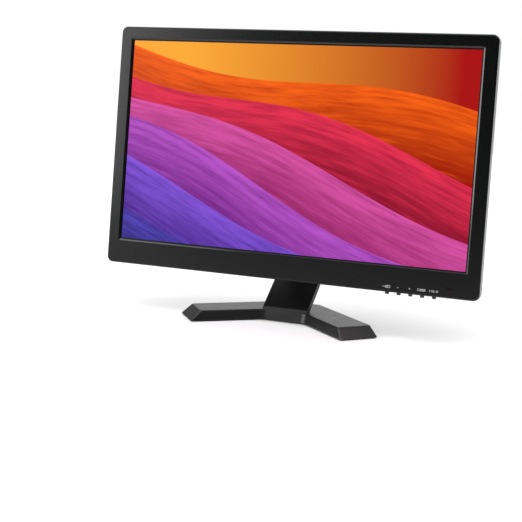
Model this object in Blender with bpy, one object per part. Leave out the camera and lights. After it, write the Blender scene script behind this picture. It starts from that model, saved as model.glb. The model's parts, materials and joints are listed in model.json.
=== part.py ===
"""A portable flat-screen television on a V-shaped stand, as separate pieces.

Metres, +Z up, the screen faces -Y. The origin is on the desk, under the middle of the stand.
Pieces of the head are drawn in the head's own frame: x across, y back from the face, z up along the face.
"""

import math

import bmesh
import bpy
from mathutils import Matrix, Vector

# ---------------------------------------------------------------- driving dimensions
GAP = 0.0003                      # between pieces that rest on each other
TILT = math.radians(5.5)          # how far the head leans back at rest

SCREEN_WIDTH = 0.4098             # picture area of an 18.5 inch 16:9 panel
SCREEN_HEIGHT = 0.2304
BORDER_SIDE = 0.0168              # from the picture's edge to the case's edge
BORDER_TOP = 0.0160
BORDER_BOTTOM = 0.0296
WIDTH = SCREEN_WIDTH + 2 * BORDER_SIDE
HEIGHT = SCREEN_HEIGHT + BORDER_TOP + BORDER_BOTTOM
SCREEN_TOP = BORDER_BOTTOM + SCREEN_HEIGHT
CORNER_RADIUS = 0.0070
CORNER_STEPS = 6

FACE_WALL = 0.0018                # bezel face
WALL = 0.0022                     # other plastic walls
BEZEL_DEPTH = 0.0130
EDGE_DEPTH = 0.0022               # of the bezel's rounded front edge
SIDE_DRAFT = 0.0008               # how far the bezel's side walls close in towards the back
BACK_PLANE = 0.0320               # the flat of the back
BULGE_DEPTH = 0.0480              # the raised housing over the boards
BULGE_HALF_WIDTH = 0.1500
BULGE_BOTTOM = 0.0620
BULGE_TOP = 0.2050

HEAD_FRONT_Y = -0.0154            # bottom front edge of the case, on the desk's frame
HEAD_BOTTOM_Z = 0.0495

HINGE_DEPTH = 0.0520              # tilt axis, in the head's frame
HINGE_HEIGHT = 0.0420
HINGE_Y = HEAD_FRONT_Y + HINGE_HEIGHT * math.sin(TILT) + HINGE_DEPTH * math.cos(TILT)
HINGE_Z = HEAD_BOTTOM_Z + HINGE_HEIGHT * math.cos(TILT) - HINGE_DEPTH * math.sin(TILT)

PANEL_FRONT = FACE_WALL + GAP
MODULE_HALF_WIDTH = 0.2150
MODULE_BOTTOM = BORDER_BOTTOM - 0.0136
MODULE_TOP = SCREEN_TOP + 0.0100

PAN_HALF_WIDTH = 0.1650           # steel pan that carries the boards
PAN_BOTTOM = 0.0240
PAN_TOP = 0.2360
PAN_FRONT = 0.0110
PAN_BACK = 0.0190

BOARD_FRONT = 0.0330              # main board
BOARD_BACK = BOARD_FRONT + 0.0016
BOARD_LEFT, BOARD_RIGHT = -0.1400, 0.0700
BOARD_BOTTOM, BOARD_TOP = 0.0660, 0.1320
SOCKET_MOUTH = BULGE_BOTTOM + 0.0005
SOCKET_BASE = BOARD_BACK + GAP

WALL_MOUNT_PITCH = 0.0750
WALL_MOUNT_CENTRE = 0.1380
COVER_SCREWS = [(-0.155, 0.036), (0.155, 0.036), (-0.155, 0.226), (0.155, 0.226)]
LEAF_SCREWS = [(-0.027, 0.0345), (0.027, 0.0345), (-0.027, 0.0550), (0.027, 0.0550)]

BUTTON_NAMES = ["source", "down", "up", "menu", "power"]
BUTTON_FIRST_X = 0.1213
BUTTON_PITCH = 0.0129
BUTTON_DEPTH = 0.0052
BUTTON_WIDTH, BUTTON_THICKNESS = 0.0044, 0.0038
BUTTON_DROP = 0.0026              # how far a button stands out below the case
KEY_BOARD_Z = 0.0104
SWITCH_HEIGHT = 0.0036
IR_WINDOW = (0.1900, 0.0095)

NECK_HALF_WIDTH = 0.0270
NECK_THICKNESS = 0.0074
NECK_ROOT_Y = 0.0026              # middle of the neck where it leaves the base
NECK_LEAN = math.radians(50.7)    # from the vertical
NECK_BEND_Z = 0.01147
STRAP_THICKNESS = 0.0025
STRAP_HALF_WIDTH = 0.0163
NECK_COVER_BOTTOM = 0.0076
NECK_COVER_TOP = 0.0690

EAR_RADIUS = 0.0080
SHAFT_RADIUS = 0.0030
SHAFT_HOLE = 0.0031
HOOD_RADIUS = 0.0126

BASE_TOP = 0.0122
BASE_RIM = 0.0012                 # height of the cover's rim over the desk
BASE_HALF_DEPTH = 0.0585
BASE_REAR_Y = 0.0578
LEG_ANGLE = math.radians(40.7)    # each leg points this far forward of sideways
LEG_WIDTH = 0.0454
BASE_NOTCH_X, BASE_NOTCH_Y = 0.0256, -0.0045
BASE_END_DRAFT = 0.0118
BASE_FRONT_DRAFT = 0.0026
BASE_BACK_DRAFT = 0.0030
BASE_WALL = 0.0025
FOOT_PLACES = [(-0.0925, -0.0345), (0.0925, -0.0345), (-0.017, 0.047), (0.017, 0.047)]
BASE_SCREW_X = 0.0120
BASE_SCREW_Y = 0.0220

# ---------------------------------------------------------------- materials
FINISHES = {                      # colour, roughness, metallic
    "bezel_plastic": ((0.030, 0.031, 0.031), 0.42, 0.0),
    "back_plastic": ((0.026, 0.027, 0.027), 0.55, 0.0),
    "stand_plastic": ((0.034, 0.036, 0.036), 0.38, 0.0),
    "button_plastic": ((0.012, 0.012, 0.012), 0.35, 0.0),
    "picture": ((0.45, 0.06, 0.18), 0.25, 0.0),
    "window_plastic": ((0.020, 0.004, 0.006), 0.10, 0.0),
    "frame_plastic": ((0.70, 0.70, 0.68), 0.50, 0.0),
    "diffuser": ((0.85, 0.85, 0.84), 0.60, 0.0),
    "acrylic": ((0.80, 0.84, 0.86), 0.08, 0.0),
    "steel": ((0.52, 0.53, 0.54), 0.35, 1.0),
    "plated_steel": ((0.62, 0.62, 0.60), 0.28, 1.0),
    "screw_steel": ((0.10, 0.10, 0.10), 0.35, 1.0),
    "aluminium": ((0.70, 0.71, 0.72), 0.30, 1.0),
    "circuit_board": ((0.015, 0.110, 0.045), 0.45, 0.0),
    "black_moulding": ((0.015, 0.015, 0.016), 0.45, 0.0),
    "blue_moulding": ((0.015, 0.060, 0.250), 0.45, 0.0),
    "cable_jacket": ((0.030, 0.030, 0.032), 0.50, 0.0),
    "ribbon": ((0.72, 0.72, 0.70), 0.45, 0.0),
    "rubber": ((0.020, 0.020, 0.020), 0.85, 0.0),
}


def make_materials():
    made = {}
    for name, (colour, roughness, metallic) in FINISHES.items():
        material = bpy.data.materials.new(name)
        material.use_nodes = True
        shader = material.node_tree.nodes["Principled BSDF"]
        shader.inputs["Base Color"].default_value = (*colour, 1.0)
        shader.inputs["Roughness"].default_value = roughness
        shader.inputs["Metallic"].default_value = metallic
        made[name] = material
    return made


# ---------------------------------------------------------------- building tools
def clear_scene():
    for obj in list(bpy.data.objects):
        bpy.data.objects.remove(obj)


def add_object(name, bm, material, parent=None, location=(0, 0, 0)):
    """Turns a bmesh into a named object, placed in its parent's frame."""
    bmesh.ops.recalc_face_normals(bm, faces=bm.faces)
    mesh = bpy.data.meshes.new(name)
    bm.to_mesh(mesh)
    bm.free()
    obj = bpy.data.objects.new(name, mesh)
    bpy.context.scene.collection.objects.link(obj)
    if material:
        mesh.materials.append(MATERIALS[material])
    obj.parent = parent
    obj.location = location
    mesh.shade_smooth()
    mesh.set_sharp_from_angle(angle=math.radians(35))
    return obj


def add_tool(name, bm, parent=None, location=(0, 0, 0)):
    """A cutter or an addition for a Boolean: not a piece."""
    obj = add_object(name, bm, None, parent, location)
    obj.hide_render = True
    obj.display_type = "WIRE"
    return obj


def boolean(obj, tool, operation="DIFFERENCE"):
    modifier = obj.modifiers.new(tool.name, "BOOLEAN")
    modifier.operation = operation
    modifier.object = tool


def bevel(obj, width, segments=2, angle=35):
    modifier = obj.modifiers.new("edges", "BEVEL")
    modifier.width = width
    modifier.segments = segments
    modifier.limit_method = "ANGLE"
    modifier.angle_limit = math.radians(angle)


def box(bm, low, high):
    """Adds a box between two corners."""
    low, high = Vector(low), Vector(high)
    place = Matrix.Translation((low + high) / 2) @ Matrix.Diagonal((*(high - low), 1.0))
    bmesh.ops.create_cube(bm, size=1.0, matrix=place)
    return bm


def new_box(low, high):
    return box(bmesh.new(), low, high)


def rectangle(left, right, bottom, top, radius, depth, steps=CORNER_STEPS):
    """Rounded rectangle in an XZ plane, as a loop of points."""
    points = []
    corners = [(right, top, 0), (left, top, 90), (left, bottom, 180), (right, bottom, 270)]
    for x, z, start in corners:
        cx = x - math.copysign(radius, x - (left + right) / 2)
        cz = z - math.copysign(radius, z - (bottom + top) / 2)
        for i in range(steps + 1):
            angle = math.radians(start + 90 * i / steps)
            points.append(Vector((cx + radius * math.cos(angle), depth, cz + radius * math.sin(angle))))
    return points


def case_rectangle(inset, radius, depth, side=0.0):
    """The case's outline, pulled in by inset, and at its sides by side as well."""
    half = WIDTH / 2 - inset - side
    return rectangle(-half, half, inset, HEIGHT - inset, radius, depth)


def screen_rectangle(margin, radius, depth):
    """The picture's outline, pushed out by margin."""
    half = SCREEN_WIDTH / 2 + margin
    return rectangle(-half, half, BORDER_BOTTOM - margin, SCREEN_TOP + margin, radius, depth)


def loft(bm, loops, closed=False):
    """Joins loops of points into a skin: capped at both ends, or closed round into a ring."""
    rows = [[bm.verts.new(p) for p in loop] for loop in loops]
    pairs = list(zip(rows, rows[1:]))
    if closed:
        pairs.append((rows[-1], rows[0]))
    count = len(rows[0])
    for a, b in pairs:
        for i in range(count):
            j = (i + 1) % count
            bm.faces.new((a[i], a[j], b[j], b[i]))
    if not closed:
        bm.faces.new(rows[0])
        bm.faces.new(rows[-1])
    return bm


def prism(bm, outline, low, high, axis="X"):
    """An outline of (a, b) pairs, drawn out along an axis from low to high."""
    def place(a, b, c):
        return Vector((c, a, b)) if axis == "X" else Vector((a, b, c))

    return loft(bm, [[place(a, b, c) for a, b in outline] for c in (low, high)])


def turned(bm, profile, segments=20, place=Matrix.Identity(4)):
    """A closed round body about Z, from (radius, height) pairs. Radius 0 closes an end."""
    rows = []
    for radius, height in profile:
        if radius == 0:
            rows.append([bm.verts.new(place @ Vector((0, 0, height)))])
            continue
        ring = []
        for i in range(segments):
            angle = 2 * math.pi * i / segments
            point = Vector((radius * math.cos(angle), radius * math.sin(angle), height))
            ring.append(bm.verts.new(place @ point))
        rows.append(ring)
    pairs = list(zip(rows, rows[1:]))
    if len(rows[0]) > 1:
        pairs.append((rows[-1], rows[0]))
    for a, b in pairs:
        for i in range(segments):
            j = (i + 1) % segments
            near = [a[0]] if len(a) == 1 else [a[i], a[j]]
            far = [b[0]] if len(b) == 1 else [b[j], b[i]]
            bm.faces.new(near + far)
    return bm


def rod(bm, radius, start, end, segments=20):
    """A plain cylinder between two points."""
    start, end = Vector(start), Vector(end)
    turn = (end - start).to_track_quat("Z", "Y").to_matrix().to_4x4()
    length = (end - start).length
    profile = [(0, 0), (radius, 0), (radius, length), (0, length)]
    return turned(bm, profile, segments, Matrix.Translation(start) @ turn)


BACKWARD = Matrix.Rotation(math.radians(-90), 4, "X")      # turns +Z to +Y, away from the face
SIDEWAYS = Matrix.Rotation(math.radians(90), 4, "Y")       # turns +Z to +X


def slot_outline(cx, cz, width, height, depth, steps=2):
    """An upright slot with round ends, in an XZ plane."""
    r = width / 2
    return rectangle(cx - r, cx + r, cz - height / 2, cz + height / 2, r * 0.98, depth, steps)


def bent_path(corners, radii, steps=6):
    """A line through 2D corners, with each inner corner rounded to its radius."""
    points = [Vector(corners[0])]
    for before, corner, after, radius in zip(corners, corners[1:], corners[2:], radii):
        corner = Vector(corner)
        back = (Vector(before) - corner).normalized()
        ahead = (Vector(after) - corner).normalized()
        half = math.acos(max(-1.0, min(1.0, back.dot(ahead)))) / 2
        centre = corner + (back + ahead).normalized() * (radius / math.sin(half))
        first = corner + back * (radius / math.tan(half)) - centre
        last = corner + ahead * (radius / math.tan(half)) - centre
        for i in range(steps + 1):
            t = i / steps
            around = (first * (1 - t) + last * t).normalized() * radius
            points.append(centre + around)
    points.append(Vector(corners[-1]))
    return points


def beside(path, distance):
    """The path moved sideways by distance: positive is to its right."""
    moved = []
    for i, point in enumerate(path):
        before, after = path[max(i - 1, 0)], path[min(i + 1, len(path) - 1)]
        along = (after - before).normalized()
        moved.append(point + Vector((along.y, -along.x)) * distance)
    return moved


def band(path, inner, outer):
    """The strip between two distances beside a path, as an outline."""
    return beside(path, inner) + beside(path, outer)[::-1]


def smooth_route(points, per_span):
    """Points on a smooth curve through the given ones."""
    points = [Vector(p) for p in points]
    ends = [2 * points[0] - points[1], *points, 2 * points[-1] - points[-2]]
    route = []
    for a, b, c, d in zip(ends, ends[1:], ends[2:], ends[3:]):
        for i in range(per_span):
            t = i / per_span
            bend = (2 * a - 5 * b + 4 * c - d) * t**2 + (3 * b - a - 3 * c + d) * t**3
            route.append(b + 0.5 * ((c - a) * t + bend))
    return [*route, points[-1]]


def cable(name, points, diameter, parent, location):
    """A round lead along a smooth route."""
    curve = bpy.data.curves.new(name, "CURVE")
    curve.dimensions = "3D"
    curve.bevel_depth = diameter / 2
    curve.bevel_resolution = 1
    curve.use_fill_caps = True
    route = smooth_route(points, 4)
    spline = curve.splines.new("POLY")
    spline.points.add(len(route) - 1)
    for target, point in zip(spline.points, route):
        target.co = (*point, 1.0)
    curve.materials.append(MATERIALS["cable_jacket"])
    obj = bpy.data.objects.new(name, curve)
    bpy.context.scene.collection.objects.link(obj)
    obj.parent = parent
    obj.location = location
    return obj


# ---------------------------------------------------------------- the head's shells
def make_front_bezel(head, at):
    ring = [
        screen_rectangle(0.0024, 0.0012, 0),
        case_rectangle(0.0022, CORNER_RADIUS - 0.0022, 0),
        case_rectangle(0.0010, CORNER_RADIUS - 0.0010, 0.0003),
        case_rectangle(0.0003, CORNER_RADIUS - 0.0003, 0.0010),
        case_rectangle(0, CORNER_RADIUS, EDGE_DEPTH),
        case_rectangle(0, CORNER_RADIUS, BEZEL_DEPTH, SIDE_DRAFT),
        case_rectangle(WALL, CORNER_RADIUS - WALL, BEZEL_DEPTH, SIDE_DRAFT),
        case_rectangle(WALL, CORNER_RADIUS - WALL, FACE_WALL),
        screen_rectangle(0.0010, 0.0004, FACE_WALL),
    ]
    bezel = add_object("front_bezel", loft(bmesh.new(), ring, closed=True), "bezel_plastic", head, at)
    holes = bmesh.new()
    half_x, half_y = BUTTON_WIDTH / 2 + GAP, BUTTON_THICKNESS / 2 + GAP
    for i in range(len(BUTTON_NAMES)):
        x = BUTTON_FIRST_X + i * BUTTON_PITCH
        box(holes, (x - half_x, BUTTON_DEPTH - half_y, -0.001),
            (x + half_x, BUTTON_DEPTH + half_y, WALL + 0.001))
    x, z = IR_WINDOW
    box(holes, (x - 0.0026, -0.001, z - 0.0014), (x + 0.0026, FACE_WALL + 0.001, z + 0.0014))
    boolean(bezel, add_tool("bezel_holes", holes, head, at))
    return bezel


def bulge_rectangle(inset, radius, depth):
    half = BULGE_HALF_WIDTH - inset
    return rectangle(-half, half, BULGE_BOTTOM + inset, BULGE_TOP - inset, radius, depth)


def make_rear_cover(head, at):
    outside = [
        case_rectangle(0.0004, 0.0066, BEZEL_DEPTH + GAP, SIDE_DRAFT),
        case_rectangle(0.0006, 0.0064, 0.0170, SIDE_DRAFT + 0.0010),
        case_rectangle(0.0022, 0.0060, 0.0196, SIDE_DRAFT + 0.0012),
        case_rectangle(0.0230, 0.0080, 0.0304),
        case_rectangle(0.0255, 0.0090, 0.0315),
        case_rectangle(0.0285, 0.0100, BACK_PLANE),
    ]
    cover = add_object("rear_cover", loft(bmesh.new(), outside), "back_plastic", head, at)
    bulge = [
        bulge_rectangle(0, 0.0100, BACK_PLANE - 0.0008),
        bulge_rectangle(0, 0.0100, 0.0440),
        bulge_rectangle(0.0008, 0.0092, 0.0462),
        bulge_rectangle(0.0024, 0.0080, 0.0475),
        bulge_rectangle(0.0050, 0.0064, BULGE_DEPTH),
    ]
    boolean(cover, add_tool("bulge_outside", loft(bmesh.new(), bulge), head, at), "UNION")
    hollow = [
        case_rectangle(0.0026, 0.0046, 0.0120, SIDE_DRAFT),
        case_rectangle(0.0028, 0.0044, 0.0162, SIDE_DRAFT + 0.0010),
        case_rectangle(0.0044, 0.0044, 0.0184, SIDE_DRAFT + 0.0012),
        case_rectangle(0.0250, 0.0070, 0.0284),
        case_rectangle(0.0290, 0.0090, BACK_PLANE - WALL),
    ]
    boolean(cover, add_tool("cover_hollow", loft(bmesh.new(), hollow), head, at))
    bulge_hollow = [
        bulge_rectangle(WALL, 0.0078, 0.0280),
        bulge_rectangle(WALL, 0.0078, 0.0432),
        bulge_rectangle(0.0034, 0.0070, 0.0450),
        bulge_rectangle(0.0060, 0.0054, BULGE_DEPTH - WALL),
    ]
    boolean(cover, add_tool("bulge_hollow", loft(bmesh.new(), bulge_hollow), head, at))
    boolean(cover, add_tool("cover_vents", vent_cutters(), head, at))
    boolean(cover, add_tool("cover_holes", hole_cutters(), head, at))
    return cover


def vent_cutters():
    """Slots above the boards, and a grille behind each speaker."""
    cut = bmesh.new()
    ends = (BACK_PLANE - WALL - 0.001, BACK_PLANE + 0.001)
    for i in range(31):
        x = (i - 15) * 0.0085
        loft(cut, [slot_outline(x, 0.2240, 0.0032, 0.0200, y) for y in ends])
    for side in (-1, 1):
        for i in range(6):
            x = side * (0.1700 + i * 0.0042)
            loft(cut, [slot_outline(x, 0.0520, 0.0020, 0.0300, y) for y in ends])
    return cut


def hole_cutters():
    """Screw holes, wall-mount holes and the windows for the sockets."""
    cut = bmesh.new()
    for x, z in COVER_SCREWS + LEAF_SCREWS:
        rod(cut, 0.0018, (x, 0.025, z), (x, 0.035, z), 16)
    for x in (-WALL_MOUNT_PITCH / 2, WALL_MOUNT_PITCH / 2):
        for z in (WALL_MOUNT_CENTRE - WALL_MOUNT_PITCH / 2, WALL_MOUNT_CENTRE + WALL_MOUNT_PITCH / 2):
            rod(cut, 0.0026, (x, 0.040, z), (x, 0.050, z), 16)
    for x, half_width, height in SOCKET_WINDOWS:
        edge = 0.0005
        box(cut, (x - half_width - edge, SOCKET_BASE - edge, BULGE_BOTTOM - 0.002),
            (x + half_width + edge, SOCKET_BASE + height + edge, BULGE_BOTTOM + WALL + 0.002))
    return cut


# ---------------------------------------------------------------- the picture module
PANEL_EDGE = 0.0048               # of the panel, past the picture
PANEL_THICKNESS = 0.0014
SHEET_EDGE = 0.0050
SHEET_FRONT = PANEL_FRONT + PANEL_THICKNESS + GAP + 0.0010 + GAP
DIFFUSER_THICKNESS = 0.0009
GUIDE_FRONT = SHEET_FRONT + DIFFUSER_THICKNESS + GAP
MODULE_BACK = 0.0094
LED_COUNT = 24
LED_PITCH = 0.0168


def module_rectangle(inset, depth):
    half = MODULE_HALF_WIDTH - inset
    return rectangle(-half, half, MODULE_BOTTOM + inset, MODULE_TOP - inset, 0.0015, depth, 2)


def make_panel_module(head, at):
    """The picture panel in its moulded frame, with the back light's sheets and their steel tray."""
    half = SCREEN_WIDTH / 2 + PANEL_EDGE + 0.0003
    low, high = BORDER_BOTTOM - PANEL_EDGE, SCREEN_TOP + PANEL_EDGE
    panel = new_box((-half, PANEL_FRONT, low), (half, PANEL_FRONT + PANEL_THICKNESS, high))
    add_object("lcd_panel", panel, "picture", head, at)
    make_panel_frame(head, at)
    make_back_light(head, at)
    make_panel_tray(head, at)
    make_driver_board(head, at)


def make_panel_frame(head, at):
    """A rebate for the panel, a thin shelf behind it, and room for the sheets behind that."""
    def opening(margin, depth):
        side = SCREEN_WIDTH / 2 + margin
        return rectangle(-side, side, BORDER_BOTTOM - margin, SCREEN_TOP + margin, 0.0010, depth, 2)

    front = PANEL_FRONT + GAP
    shelf = PANEL_FRONT + PANEL_THICKNESS + GAP
    shelf_back = shelf + 0.0010
    ring = [
        module_rectangle(0, front), module_rectangle(0, MODULE_BACK),
        opening(0.0060, MODULE_BACK), opening(0.0060, shelf_back),
        opening(0.0010, shelf_back), opening(0.0010, shelf),
        opening(PANEL_EDGE + 0.0006, shelf), opening(PANEL_EDGE + 0.0006, front),
    ]
    add_object("panel_frame", loft(bmesh.new(), ring, closed=True), "frame_plastic", head, at)


def make_back_light(head, at):
    """A diffuser, a clear guide behind it, and a strip of lamps along the guide's lower edge."""
    half = SCREEN_WIDTH / 2 + SHEET_EDGE
    low, high = BORDER_BOTTOM - SHEET_EDGE, SCREEN_TOP + SHEET_EDGE
    sheet = new_box((-half, SHEET_FRONT, low), (half, SHEET_FRONT + DIFFUSER_THICKNESS, high))
    add_object("diffuser_sheet", sheet, "diffuser", head, at)
    guide = new_box((-half, GUIDE_FRONT, low + 0.0022), (half, MODULE_BACK, high))
    add_object("light_guide", guide, "acrylic", head, at)
    strip = new_box((-half, GUIDE_FRONT, low), (half, MODULE_BACK, low + 0.0008))
    strip = add_object("led_strip", strip, "diffuser", head, at)
    lamps = bmesh.new()
    for i in range(LED_COUNT):
        x = (i + 0.5 - LED_COUNT / 2) * LED_PITCH
        box(lamps, (x - 0.0024, GUIDE_FRONT + 0.0006, low + 0.0004),
            (x + 0.0024, MODULE_BACK - 0.0006, low + 0.0016))
    boolean(strip, add_tool("led_bodies", lamps, head, at), "UNION")


def make_panel_tray(head, at):
    """A thin steel dish that closes the module's back and turns round its edge."""
    wall = 0.0008
    dish = [
        module_rectangle(-GAP, MODULE_BACK + 0.0004), module_rectangle(-GAP, 0.0050),
        module_rectangle(-GAP - wall, 0.0050), module_rectangle(-GAP - wall, MODULE_BACK + 0.0012),
    ]
    add_object("panel_tray", loft(bmesh.new(), dish), "steel", head, at)


def make_driver_board(head, at):
    """The panel's own board, on the back of its tray."""
    front, back = MODULE_BACK + 0.0015, MODULE_BACK + 0.0025
    board = new_box((-0.090, front, 0.2390), (0.090, back, 0.2570))
    board = add_object("driver_board", board, "circuit_board", head, at)
    chip = new_box((-0.022, back - 0.0003, 0.2430), (0.022, back + 0.0020, 0.2530))
    boolean(board, add_tool("driver_chip", chip, head, at), "UNION")


# ---------------------------------------------------------------- chassis and boards
def make_chassis(head, at):
    def pan(inset, depth):
        side = PAN_HALF_WIDTH - inset
        return rectangle(-side, side, PAN_BOTTOM + inset, PAN_TOP - inset, 0.0040, depth, 3)

    skin = [pan(0.001, PAN_BACK - 0.001), pan(0.001, PAN_FRONT), pan(0, PAN_FRONT), pan(0, PAN_BACK)]
    chassis = add_object("chassis_plate", loft(bmesh.new(), skin), "steel", head, at)
    posts, bores = bmesh.new(), bmesh.new()
    root = PAN_BACK - 0.0005
    for x, z in COVER_SCREWS + LEAF_SCREWS:
        rod(posts, 0.0035, (x, root, z), (x, BACK_PLANE - WALL - GAP, z), 12)
        rod(bores, 0.0017, (x, PAN_BACK + 0.002, z), (x, BACK_PLANE, z), 12)
    half = WALL_MOUNT_PITCH / 2
    for x in (-half, half):
        for z in (WALL_MOUNT_CENTRE - half, WALL_MOUNT_CENTRE + half):
            rod(posts, 0.0050, (x, root, z), (x, BULGE_DEPTH - WALL - GAP, z), 16)
            rod(bores, 0.0017, (x, PAN_BACK + 0.010, z), (x, BULGE_DEPTH, z), 12)
    for x in (BOARD_LEFT + 0.004, BOARD_RIGHT - 0.004):
        for z in (BOARD_BOTTOM + 0.022, BOARD_TOP - 0.004):
            rod(posts, 0.0030, (x, root, z), (x, BOARD_FRONT - GAP, z), 12)
    boolean(chassis, add_tool("chassis_posts", posts, head, at), "UNION")
    boolean(chassis, add_tool("chassis_bores", bores, head, at))


HEAT_SINK_LEFT, HEAT_SINK_WIDTH = -0.0820, 0.0320
HEAT_SINK_LOW, HEAT_SINK_HIGH = 0.0990, 0.1290
FIN_COUNT = 6
FIN_THICKNESS = 0.0014


def make_main_board(head, at):
    """The board that carries the sockets, cleared round two of the wall-mount posts."""
    board = new_box((BOARD_LEFT, BOARD_FRONT, BOARD_BOTTOM), (BOARD_RIGHT, BOARD_BACK, BOARD_TOP))
    board = add_object("main_board", board, "circuit_board", head, at)
    holes = bmesh.new()
    for x in (-WALL_MOUNT_PITCH / 2, WALL_MOUNT_PITCH / 2):
        z = WALL_MOUNT_CENTRE - WALL_MOUNT_PITCH / 2
        rod(holes, 0.0060, (x, BOARD_FRONT - 0.001, z), (x, BOARD_BACK + 0.001, z), 16)
    boolean(board, add_tool("board_holes", holes, head, at))
    make_heat_sink(head, at)
    can = new_box((-0.1320, SOCKET_BASE, 0.0800), (-0.1000, SOCKET_BASE + 0.0080, 0.1180))
    add_object("tuner_can", can, "plated_steel", head, at)


def make_heat_sink(head, at):
    left, right = HEAT_SINK_LEFT, HEAT_SINK_LEFT + HEAT_SINK_WIDTH
    plate = new_box((left, SOCKET_BASE, HEAT_SINK_LOW), (right, SOCKET_BASE + 0.0030, HEAT_SINK_HIGH))
    sink = add_object("heat_sink", plate, "aluminium", head, at)
    pitch = (HEAT_SINK_WIDTH - 0.0010 - FIN_THICKNESS) / (FIN_COUNT - 1)
    fins = bmesh.new()
    for i in range(FIN_COUNT):
        x = left + 0.0005 + i * pitch
        box(fins, (x, SOCKET_BASE + 0.0020, HEAT_SINK_LOW),
            (x + FIN_THICKNESS, SOCKET_BASE + 0.0085, HEAT_SINK_HIGH))
    boolean(sink, add_tool("sink_fins", fins, head, at), "UNION")


# Sockets along the board's lower edge: middle, half width, height over the board.
SOCKETS = {
    "dc_inlet": (-0.1330, 0.0045, 0.0082),
    "aerial_socket": (-0.1180, 0.0058, 0.0082),
    "hdmi_socket": (-0.0990, 0.0078, 0.0062),
    "vga_socket": (-0.0720, 0.0152, 0.0082),
    "usb_socket": (-0.0460, 0.0070, 0.0072),
    "av_jack": (0.0440, 0.0035, 0.0066),
    "earphone_jack": (0.0560, 0.0035, 0.0066),
}
SOCKET_WINDOWS = list(SOCKETS.values())


def socket_body(name, material, start, depth, head, at):
    """The block of a socket, from start to depth behind its mouth."""
    x, half, height = SOCKETS[name]
    low = (x - half, SOCKET_BASE, SOCKET_MOUTH + start)
    high = (x + half, SOCKET_BASE + height, SOCKET_MOUTH + depth)
    return add_object(name, new_box(low, high), material, head, at)


def make_block_socket(name, material, depth, hole, tongue, head, at):
    """A shell with a rectangular mouth, and a contact tongue inside."""
    socket = socket_body(name, material, 0, depth, head, at)
    x, _, height = SOCKETS[name]
    mid = SOCKET_BASE + height / 2
    half_x, half_y, reach = hole
    mouth = new_box((x - half_x, mid - half_y, SOCKET_MOUTH - 0.001),
                    (x + half_x, mid + half_y, SOCKET_MOUTH + reach))
    boolean(socket, add_tool(name + "_mouth", mouth, head, at))
    half_x, low_y, high_y, back = tongue
    blade = new_box((x - half_x, mid + low_y, SOCKET_MOUTH + back),
                    (x + half_x, mid + high_y, SOCKET_MOUTH + reach + 0.0005))
    boolean(socket, add_tool(name + "_tongue", blade, head, at), "UNION")


def make_round_socket(name, material, depth, bore, pin, head, at):
    """A block with a round mouth and, where it has one, a centre pin."""
    socket = socket_body(name, material, 0, depth, head, at)
    x, _, height = SOCKETS[name]
    mid = SOCKET_BASE + height / 2
    back = SOCKET_MOUTH + depth - 0.0020
    mouth = rod(bmesh.new(), bore, (x, mid, SOCKET_MOUTH - 0.001), (x, mid, back), 20)
    boolean(socket, add_tool(name + "_mouth", mouth, head, at))
    if pin:
        centre = rod(bmesh.new(), pin, (x, mid, SOCKET_MOUTH + 0.0010), (x, mid, back + 0.0005), 12)
        boolean(socket, add_tool(name + "_pin", centre, head, at), "UNION")


def make_sockets(head, at):
    make_round_socket("dc_inlet", "black_moulding", 0.0130, 0.0032, 0.0011, head, at)
    make_round_socket("aerial_socket", "plated_steel", 0.0140, 0.0034, 0.0010, head, at)
    make_round_socket("av_jack", "black_moulding", 0.0120, 0.0019, 0, head, at)
    make_round_socket("earphone_jack", "black_moulding", 0.0120, 0.0019, 0, head, at)
    make_block_socket("hdmi_socket", "plated_steel", 0.0110, (0.0070, 0.0023, 0.0090),
                      (0.0058, -0.0006, 0.0006, 0.0020), head, at)
    make_block_socket("usb_socket", "plated_steel", 0.0130, (0.00625, 0.0026, 0.0105),
                      (0.0055, 0.0004, 0.0022, 0.0020), head, at)
    make_vga_socket(head, at)


def make_vga_socket(head, at):
    """The D-shaped shell of a 15-way socket, with its three rows of contact holes."""
    name = "vga_socket"
    socket = socket_body(name, "blue_moulding", 0.0035, 0.0130, head, at)
    x, _, height = SOCKETS[name]
    mid = SOCKET_BASE + height / 2
    wide, narrow, tall = 0.0083, 0.0073, 0.0036
    outline = [(x - wide, mid + tall), (x + wide, mid + tall),
               (x + narrow, mid - tall), (x - narrow, mid - tall)]
    shell = prism(bmesh.new(), outline, SOCKET_MOUTH - 0.0005, SOCKET_MOUTH + 0.0045, "Z")
    boolean(socket, add_tool("vga_shell", shell, head, at), "UNION")
    contacts = bmesh.new()
    for row, shift in ((-1, 0.0), (0, 0.00115), (1, 0.0)):
        for i in range(5):
            cx = x + (i - 2) * 0.0023 + shift - 0.0005
            cy = mid + row * 0.0020
            rod(contacts, 0.0006, (cx, cy, SOCKET_MOUTH - 0.002), (cx, cy, SOCKET_MOUTH + 0.003), 6)
    boolean(socket, add_tool("vga_contacts", contacts, head, at))


def make_speakers(head, at):
    for name, side in (("speaker_left", -1), ("speaker_right", 1)):
        low_x, high_x = sorted((side * 0.1735, side * 0.2040))
        body = new_box((low_x, 0.0115, 0.0230), (high_x, 0.0205, 0.0820))
        speaker = add_object(name, body, "black_moulding", head, at)
        centre = side * 0.18875
        place = Matrix.Translation((centre, 0.0195, 0.0520)) @ BACKWARD
        profile = [(0, -0.0040), (0.0040, -0.0040), (0.0125, 0.0), (0.0125, 0.0020), (0, 0.0020)]
        cone = turned(bmesh.new(), profile, 20, place)
        boolean(speaker, add_tool(name + "_cone", cone, head, at))


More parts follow.
